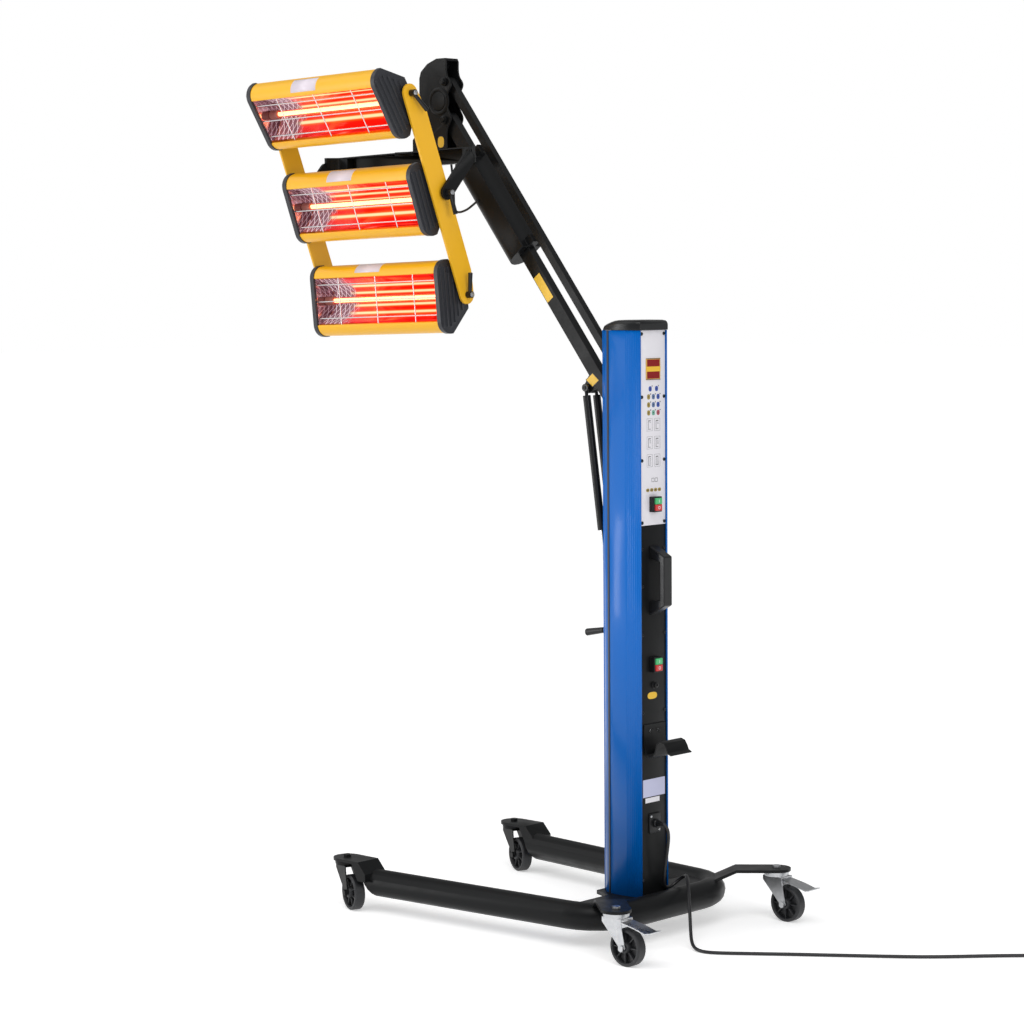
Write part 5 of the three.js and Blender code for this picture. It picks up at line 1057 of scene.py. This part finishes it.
# Arm: square steel tube and a thinner tie bar above it, black powder coat, in a ribbed sleeve.
# Two gas springs run from a lug under the arm down into the column.
ARM_PIN_Z = 1013
ARM_ANGLE = math.radians(52.1)
ARM_WIDTH = 20
LINK_HEIGHT = 80
arm_along = Vector((math.cos(ARM_ANGLE), 0, math.sin(ARM_ANGLE)))
arm_over = Vector((-math.sin(ARM_ANGLE), 0, math.cos(ARM_ANGLE)))


# A point of the arm: how far along it, across to the left, and square to it
def on_arm(along, across, over):
    return from_column(0, across, ARM_PIN_Z) + (arm_along * along + arm_over * over) * MM


# Hard chrome on the rods: a clear mirror
hard_chrome = plain_finish("hard_chrome", "#d4d6d8", 0.12, metallic=1.0)
dressed("main_arm", black_powder, 1.5)
dressed("tie_bar", black_powder, 1.5)
dressed("arm_cover", black_powder, 2.0)
for place in ("left", "right"):
    dressed(f"gas_cylinder_{place}", black_plastic, 0.8, 50)
    dressed(f"gas_rod_{place}", hard_chrome, 0.5, 50)
dressed("arm_lock_lever", black_plastic, 1.0, 50)

# Arm labels and lock stem: two labels of yellow film, left bare, on the arm's left side, and the
# bright steel stem that the lock lever turns.
ARM_LABEL = ((343, -13), (406, -13), (406, 6.5), (343, 6.5))
DIAMOND_CENTRE = (98.4, 1118.7)
DIAMOND_HALF_WIDTH = 19
DIAMOND_HALF_HEIGHT = 15
DIAMOND_FACE_SHARE = 0.88
LOCK_STEM_RADIUS = 3.3
LOCK_STEM_START = 6
LOCK_STEM_LENGTH = 30
LOCK_STEM_DROOP = math.radians(10)
label_t = leftward * INK_T * MM


# A yellow label on a dark rim. The outline is worked out for a share of its size and a lift.
def rimmed_label(name, body, face_share, outline_at):
    for part, colour, share, lift in (("rim", "dark_ink", 1, 0), ("face", "yellow", face_share, INK_T)):
        shape = add_plate(bmesh.new(), outline_at(share, lift), label_t)
        new_piece(f"{name}_{part}", shape, ink[colour], body)


def arm_labels():
    side = ARM_WIDTH / 2
    shape = add_plate(bmesh.new(), [on_arm(along, side, over) for along, over in ARM_LABEL], label_t)
    new_piece("arm_label", shape, ink["yellow"], "arm")

    def diamond(share, lift):
        x, z = DIAMOND_CENTRE
        wide, tall = DIAMOND_HALF_WIDTH * share, DIAMOND_HALF_HEIGHT * share
        corners = [(x + wide, z), (x, z + tall), (x - wide, z), (x, z - tall)]
        return [from_column(cx, side + lift, cz) for cx, cz in corners]

    rimmed_label("diamond", "arm", DIAMOND_FACE_SHARE, diamond)


def lock_stem():
    pivot = Vector(joint_named("lock_lever_turn")["pos_m"])
    along = Vector((math.cos(LOCK_STEM_DROOP), 0, -math.sin(LOCK_STEM_DROOP)))
    profile = [(LOCK_STEM_START, 0), (LOCK_STEM_START, LOCK_STEM_RADIUS),
               (LOCK_STEM_LENGTH, LOCK_STEM_RADIUS), (LOCK_STEM_LENGTH, 0)]
    shape = turned(bmesh.new(), profile, pivot, pivot + along, 20)
    new_piece("lock_lever_stem", shape, zinc_plate, "lock_lever")


arm_labels()
lock_stem()

# Head bracket: pressed steel, its rear edges rolled over and a round boss pressed out of each
# side, with blackened bolts on its pins and a bare yellow oval label.
BRACKET_HALF = 19.2
BRACKET_WALL = 2.5
BRACKET_REAR = 17
BRACKET_REACH = 114
BRACKET_HEIGHT = 196
BRACKET_BOTTOM = 66
BRACKET_RISE = 4
BRACKET_WAVE_SHARES = [
    (0.11, 0.03), (0.11, 0.14), (0.085, 0.24), (0.035, 0.29), (0, 0.335), (0, 0.375), (0.04, 0.42),
    (0.095, 0.48), (0.11, 0.55), (0.09, 0.61), (0.03, 0.66), (-0.01, 0.71), (0.01, 0.75), (0.075, 0.8),
    (0.105, 0.87), (0.105, 0.97)]
ROLL_RADIUS = 2.1
BOSS_X = 17
BOSS_PROFILE = [(-1, 0), (-1, 30), (1.2, 29.5), (2.8, 27), (3.2, 25), (2.6, 22.5), (1.2, 21), (1.2, 0)]
PIN_BOLT = 9
OVAL_CENTRE = (12, -46)
OVAL_WIDTH = 20
OVAL_HEIGHT = 26
OVAL_FACE_SHARE = 0.9
CABLE_RADIUS = 2.4
LOOP_CABLE = [
    (500, 10, 1592), (493, 12, 1562), (482, 18, 1522), (473, 26, 1488), (466, 30, 1471), (452, 31.5, 1466),
    (430, 31.5, 1471), (412, 30.5, 1481), (400, 28, 1490)]
FORK_CABLE = [(480, 62, 1572), (473, 63, 1552), (457, 76, 1533), (434, 96, 1520), (404, 118, 1510)]
bracket_pin = Vector(joint_named("bracket_level")["pos_m"])


def on_bracket(forward, across, up):
    return bracket_pin + Vector((forward, across, up)) * MM


def bracket_oval(share, lift):
    x, z = OVAL_CENTRE
    return [on_bracket(x + dx, BRACKET_HALF + lift, z + dz)
            for dx, dz in oval(0, 0, OVAL_WIDTH * share, OVAL_HEIGHT * share, 28)]


def bracket_details():
    edges, bosses, bolts = bmesh.new(), bmesh.new(), bmesh.new()
    for side in (1, -1):
        wave = [on_bracket(x * BRACKET_REACH - BRACKET_REAR + 1, side * (BRACKET_HALF - BRACKET_WALL / 2),
                           z * BRACKET_HEIGHT - BRACKET_BOTTOM) for x, z in BRACKET_WAVE_SHARES]
        add_tube(edges, smooth_line(wave, 4), ROLL_RADIUS, 10)
        out = leftward * side
        face = on_bracket(BOSS_X, side * BRACKET_HALF, LINK_HEIGHT / 2)
        turned(bosses, BOSS_PROFILE, face, face + out, 40)
        for up in (0, LINK_HEIGHT):
            add_bolt(bolts, on_bracket(0, side * (BRACKET_HALF + BRACKET_RISE), up), out, PIN_BOLT)
    for name, shape in (("rolled_edges", edges), ("bosses", bosses), ("bolts", bolts)):
        new_piece(f"bracket_{name}", shape, black_powder, "bracket")
    rimmed_label("oval", "bracket", OVAL_FACE_SHARE, bracket_oval)


# Lamp cables in black PVC: one loops from the bracket to the arm's sleeve, one runs along the fork
def lamp_cables():
    loop = [from_column(*point) for point in LOOP_CABLE]
    run = [from_column(*point) for point in FORK_CABLE]
    shape = add_tube(bmesh.new(), smooth_line(loop, 6), CABLE_RADIUS, 12)
    cable = from_bmesh("loop_cable", shape, black_pvc)
    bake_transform(cable)
    shape = add_tube(bmesh.new(), smooth_line(run, 6), CABLE_RADIUS, 12)
    new_piece("fork_cable", shape, black_pvc, "fork")


dressed("head_bracket", black_powder, 2.0, 25)
dressed("head_fork", black_powder, 2.0, 25)
bracket_details()
lamp_cables()


# Side bars: flat steel, bolted between the lamps and the fork. Their yellow powder coat is a
# little paler than the lamps' and has the same broad, shallow orange peel.
def yellow_coat(name, colour):
    return plain_finish(name, colour, 0.34, (2.0, 0.03, 0.05))


lamp_yellow = yellow_coat("yellow_powder_coat", "#ffbe0c")
bar_yellow = yellow_coat("pale_yellow_powder_coat", "#ffc126")
dressed("side_bar_front", bar_yellow, 0.8)
dressed("side_bar_rear", bar_yellow, 0.8)

# Lamp cassettes: a yellow sheet housing with rolled lips, a polished reflector with a painted red glow, a
# quartz tube with its filament, a chromed wire guard, and a ribbed moulded cap on each end.
HEAD_LEAN = math.radians(1.5)
FRAME_TILT = 20
LAMP_TILTS = {"top": 11, "middle": -1, "bottom": -16}
LAMP_LENGTH = 392
LAMP_FACE = 67
LAMP_HEIGHT = 150
LAMP_OPENING = 102
LAMP_BACK = 14
LAMP_BACK_HALF = 27
LAMP_SHOULDER_Y = 34
LIP_RADIUS = 26
LAMP_WALL = 2
CAP_T = 14
CLEAR = 0.3
REFLECTOR_WALL = 0.8
END_PLATE_T = 0.6
QUARTZ_RADIUS = 7
QUARTZ_WALL = 1.2
QUARTZ_Y = 34
CERAMIC_SHARE = 1.35
CERAMIC_LENGTH = 21
FILAMENT_RADIUS = 3.2
FILAMENT_WIRE = 1.4
FILAMENT_PITCH = 4.5
FILAMENT_STEPS = 10
GUARD_WIRE = 1.3
GUARD_SETBACK = 6
GUARD_SHARES = (0.62, 0.7)
REFLECTOR_BACK = 8
REFLECTOR_STEPS = 28
LABEL_START = -18
LABEL_LENGTH = 75
LIP_STEPS = 10
housing_half = LAMP_LENGTH / 2 - CAP_T - CLEAR

# Glow of the hot filament: yellow-white
hot_filament = plain_finish("hot_filament", "#ffd890", 0.5, inputs={
    "Emission Color": linear("#ffe9b0"), "Emission Strength": 2.4})
# Quartz glass over the filament: clear, coloured red by the glow inside it
quartz = plain_finish("quartz_glass", "#ffe0d4", 0.04, inputs={
    "Transmission Weight": 1.0, "IOR": 1.458, "Emission Color": linear("#ff3a10"),
    "Emission Strength": 0.12})
# Glazed ceramic at the tube's ends, its red-brown colour a painted glow of the red light falling on it
red_lit_ceramic = plain_finish("lamp_ceramic_painted_red", "#a8685c", 0.5, (1.0, 0.02, 0.05))
# Polished end plates: a mirror whose slightly warm colour is a painted reflection of the glow
end_plate_painted_warm = plain_finish("polished_end_plate_painted_warm", "#c9b2b8", 0.08, metallic=1.0)
label_film = film("lamp_label_film", "#efe4ee", 0.4)

# Polished reflector with painted light: painted reflections of the hot tube run along the lamp as bands of
# red and yellow glow and fade towards the front end, where it shows as cool polished metal with a painted
# reflection of the guard. The piece's own UV map is (along, round).
PAINTED_GLOW_BANDS = (0.2, 0.36, 0.5, 0.64, 0.8)
PAINTED_GLOW_HALF = 0.03
PAINTED_GLOW_STEPS = [(-2, "#e0160a"), (-1, "#ff5a14"), (-0.5, "#fff0b4"), (0.5, "#fff0b4"), (1, "#ff5a14"),
              (2, "#e0160a")]
PAINTED_GLOW_RED = "#b80a0a"
RAGGED_MM = 14
RAGGED_SHARE = 0.16
FADE_START = 0.84
FADE_END = 0.94
# Painted reflection of the guard wires: a lattice of light lines on the front end's metal
REFLECTED_LATTICE_LEANS = (-4.5, 4.5)
REFLECTED_LATTICE_COUNT = 26
REFLECTED_LATTICE_SHARE = 0.1


def reflector_with_painted_glow():
    material, tree, shader, place = start_material("polished_reflector_painted_glow", "#b9a2a8", 0.14, 0.9)
    span = add_node(tree, "ShaderNodeUVMap", uv_map="span")
    parts = add_node(tree, "ShaderNodeSeparateXYZ", {"Vector": span.outputs[0]})
    ragged = add_node(tree, "ShaderNodeTexNoise",
                      {"Vector": place, "Scale": 1 / (RAGGED_MM * MM), "Detail": 3.0})
    moved = add_node(tree, "ShaderNodeMath", {0: ragged.outputs["Fac"], 1: RAGGED_SHARE},
                     operation="MULTIPLY")
    along = add_node(tree, "ShaderNodeMath", {0: parts.outputs["X"], 1: moved.outputs[0]}, operation="ADD")
    painted_glow_fade = add_node(tree, "ShaderNodeMapRange", {
        "Value": along.outputs[0], "From Min": FADE_START, "From Max": FADE_END, "To Min": 1.0,
        "To Max": 0.0}, interpolation_type="SMOOTHSTEP").outputs["Result"]
    ramp = add_node(tree, "ShaderNodeValToRGB", {"Fac": parts.outputs["Y"]})
    elements = ramp.color_ramp.elements
    for end in elements:
        end.color = linear(PAINTED_GLOW_RED)
    for band in PAINTED_GLOW_BANDS:
        for halves, colour in PAINTED_GLOW_STEPS:
            elements.new(band + halves * PAINTED_GLOW_HALF).color = linear(colour)
    painted_lattice_reflection = 0.0
    for lean in REFLECTED_LATTICE_LEANS:
        slope = add_node(tree, "ShaderNodeMath", {0: parts.outputs["Y"], 1: lean}, operation="MULTIPLY")
        rows = add_node(tree, "ShaderNodeMath", {
            0: parts.outputs["X"], 1: REFLECTED_LATTICE_COUNT, 2: slope.outputs[0]}, operation="MULTIPLY_ADD")
        part = add_node(tree, "ShaderNodeMath", {0: rows.outputs[0]}, operation="FRACT")
        line = add_node(tree, "ShaderNodeMath", {0: part.outputs[0], 1: REFLECTED_LATTICE_SHARE}, operation="LESS_THAN")
        either = add_node(tree, "ShaderNodeMath", {0: line.outputs[0], 1: painted_lattice_reflection}, operation="MAXIMUM")
        painted_lattice_reflection = either.outputs[0]
    # Painted reflection of the guard's lattice, light lines on dark, in the front end's mirror
    painted_mirror_image = add_node(tree, "ShaderNodeMix", {
        "Factor": painted_lattice_reflection, MIX_LOW: linear("#5c3c44"), MIX_HIGH: linear("#f2dce2")}, data_type="RGBA")
    glow = add_node(tree, "ShaderNodeMix", {
        "Factor": painted_glow_fade, MIX_LOW: painted_mirror_image.outputs[MIX_RESULT], MIX_HIGH: ramp.outputs["Color"]},
        data_type="RGBA")
    tree.links.new(glow.outputs[MIX_RESULT], shader.inputs["Emission Color"])
    # The reflector glows with these painted reflections, though it is no lamp
    shader.inputs["Emission Strength"].default_value = 0.95
    # Base colour: painted red of the glow, and at the front end a warm mauve metal, also a painted reflection
    base = add_node(tree, "ShaderNodeMix", {
        "Factor": painted_glow_fade, MIX_LOW: linear("#b9a2a8"), MIX_HIGH: linear("#c8281c")}, data_type="RGBA")
    tree.links.new(base.outputs[MIX_RESULT], shader.inputs["Base Color"])
    return material


painted_glow_reflector = reflector_with_painted_glow()


def lamp_matrix(place):
    pivot = Vector(joint_named(f"lamp_{place}_tilt")["pos_m"])
    tilt = math.radians(FRAME_TILT + LAMP_TILTS[place])
    return (Matrix.Translation(pivot) @ Matrix.Rotation(HEAD_LEAN, 4, "Y")
            @ Matrix.Rotation(-tilt, 4, "X") @ Matrix.Scale(MM, 4))


# Housing section in Y and Z from the upper lip's edge round the back to the lower lip's edge
def housing_line(inset):
    radius = LIP_RADIUS - inset
    centre = Vector((LAMP_FACE - LIP_RADIUS, LAMP_HEIGHT / 2 - LIP_RADIUS))
    start = math.asin((LAMP_OPENING / 2 - centre.y) / LIP_RADIUS)
    upper = [Vector((LAMP_FACE - inset - 4, LAMP_OPENING / 2 - 1.5)),
             Vector((LAMP_FACE - inset - 1.2, LAMP_OPENING / 2 - 1.2))]
    for step in range(LIP_STEPS + 1):
        angle = start + (math.pi / 2 - start) * step / LIP_STEPS
        upper.append(centre + Vector((math.cos(angle), math.sin(angle))) * radius)
    upper.append(Vector((LAMP_SHOULDER_Y, LAMP_HEIGHT / 2 - inset)))
    upper.append(Vector((-LAMP_BACK + inset, LAMP_BACK_HALF)))
    return upper + [Vector((p.x, -p.y)) for p in reversed(upper)]


def lamp_cassette(place):
    body = f"lamp_{place}"
    into_place = lamp_matrix(place)

    def placed(name, shape, material):
        bmesh.ops.transform(shape, matrix=into_place, verts=shape.verts)
        return new_piece(f"lamp_{place}_{name}", shape, material, body)

    # A sheet along the lamp whose section is a line of points in Y and Z
    def sheet_along(line, start, length):
        return draw_sheet(bmesh.new(), [(start, y, z) for y, z in line], (length, 0, 0))

    shape = sheet_along(housing_line(0), -housing_half, housing_half * 2)
    housing = placed("sheet_housing", shape, lamp_yellow)
    give_wall(housing, LAMP_WALL)
    round_edges(housing, 1.5, 25, 3)
    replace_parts(housing, f"lamp_{place}_housing")

    half = LAMP_OPENING / 2 - 3
    depth = LAMP_FACE - GUARD_SETBACK * 1.8 - REFLECTOR_BACK
    curve = []
    for step in range(REFLECTOR_STEPS + 1):
        z = half * (1 - 2 * step / REFLECTOR_STEPS)
        curve.append((REFLECTOR_BACK + depth * (z / half) ** 2, z))
    shape = sheet_along(curve, 2 - housing_half, (housing_half - 2) * 2)
    layer = shape.loops.layers.uv.new("span")
    for face in shape.faces:
        for loop in face.loops:
            loop[layer].uv = (loop.vert.co.x / housing_half / 2 + 0.5, loop.vert.co.z / half / 2 + 0.5)
    give_wall(placed("reflector", shape, painted_glow_reflector), REFLECTOR_WALL, 1)

    shape = bmesh.new()
    inner = housing_line(LAMP_WALL + 1)[2:-2]
    for end in (1, -1):
        corners = [(end * (housing_half - 0.8), y, z) for y, z in inner]
        add_plate(shape, corners, (end * END_PLATE_T, 0, 0))
    placed("end_plates", shape, end_plate_painted_warm)

    axis = Vector((0, QUARTZ_Y, 0))
    along = Vector((1, 0, 0))
    glass_half = housing_half - CLEAR - 1 - CERAMIC_LENGTH
    near_end = glass_half - QUARTZ_WALL
    bore = QUARTZ_RADIUS - QUARTZ_WALL
    profile = [(-glass_half, QUARTZ_RADIUS), (-near_end, QUARTZ_RADIUS), (near_end, QUARTZ_RADIUS),
               (glass_half, QUARTZ_RADIUS), (glass_half, bore), (near_end, bore), (-near_end, bore),
               (-glass_half, bore), (-glass_half, QUARTZ_RADIUS)]
    shape = turned(bmesh.new(), profile, axis, axis + along, 24, 1)
    glass = placed("quartz_glass", shape, quartz)
    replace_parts(glass, f"lamp_{place}_tube")
    shape = bmesh.new()
    wide = QUARTZ_RADIUS * CERAMIC_SHARE
    profile = [(-2, 0), (-2, wide - 1), (-1, wide), (CERAMIC_LENGTH - 1, wide), (CERAMIC_LENGTH, wide - 1),
               (CERAMIC_LENGTH, 0)]
    for end in (1, -1):
        start = axis + along * end * glass_half
        turned(shape, profile, start, start + along * end, 20, 1)
    placed("ceramic_ends", shape, red_lit_ceramic)
    last = int(glass_half * 2 / FILAMENT_PITCH) * FILAMENT_STEPS
    coil = []
    for step in range(last + 1):
        angle = step / FILAMENT_STEPS * math.tau
        coil.append(Vector((-glass_half + step / last * glass_half * 2,
                            QUARTZ_Y + FILAMENT_RADIUS * math.cos(angle), FILAMENT_RADIUS * math.sin(angle))))
    placed("filament", add_tube(bmesh.new(), coil, FILAMENT_WIRE, 5, 1), hot_filament)

    shape = bmesh.new()
    guard_y = LAMP_FACE - GUARD_SETBACK
    tall = LAMP_OPENING / 2 + CLEAR
    reach = housing_half - CLEAR
    for number in (-1, 0, 1):
        x = reach * GUARD_SHARES[0] * number
        add_tube(shape, [Vector((x, guard_y, -tall)), Vector((x, guard_y, tall))], GUARD_WIRE, 10, 1)
        z = tall * GUARD_SHARES[1] * number
        add_tube(shape, [Vector((-reach, guard_y + GUARD_WIRE, z)), Vector((reach, guard_y + GUARD_WIRE, z))],
                 GUARD_WIRE, 10, 1)
    guard = placed("guard_wires", shape, hard_chrome)
    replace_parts(guard, f"lamp_{place}_guard")

    shape = sheet_along(housing_line(-INK_T)[4:LIP_STEPS + 3], LABEL_START, LABEL_LENGTH)
    give_wall(placed("bare_label", shape, label_film), INK_T)
    for end in ("front", "rear"):
        dressed(f"lamp_{place}_cap_{end}", highlit_rib_plastic, 0.8)


for place in LAMP_TILTS:
    lamp_cassette(place)

# Clamp levers: moulded grips, one at each end of the side bars and one on the fork, each held by
# a bright zinc-plated steel screw.
LEVER_HUB_T = 13
SCREW_HEAD = 5

for place in ("top", "bottom", "fork"):
    dressed(f"clamp_lever_{place}", black_plastic, 0.8, 50)
    joint = joint_named(f"{place}_lever_turn")
    outward = -Vector(joint["axis"]).normalized()
    shape = add_bolt(bmesh.new(), Vector(joint["pos_m"]) + outward * LEVER_HUB_T * MM, outward, SCREW_HEAD)
    new_piece(f"clamp_screw_{place}", shape, zinc_plate, f"{place}_lever")
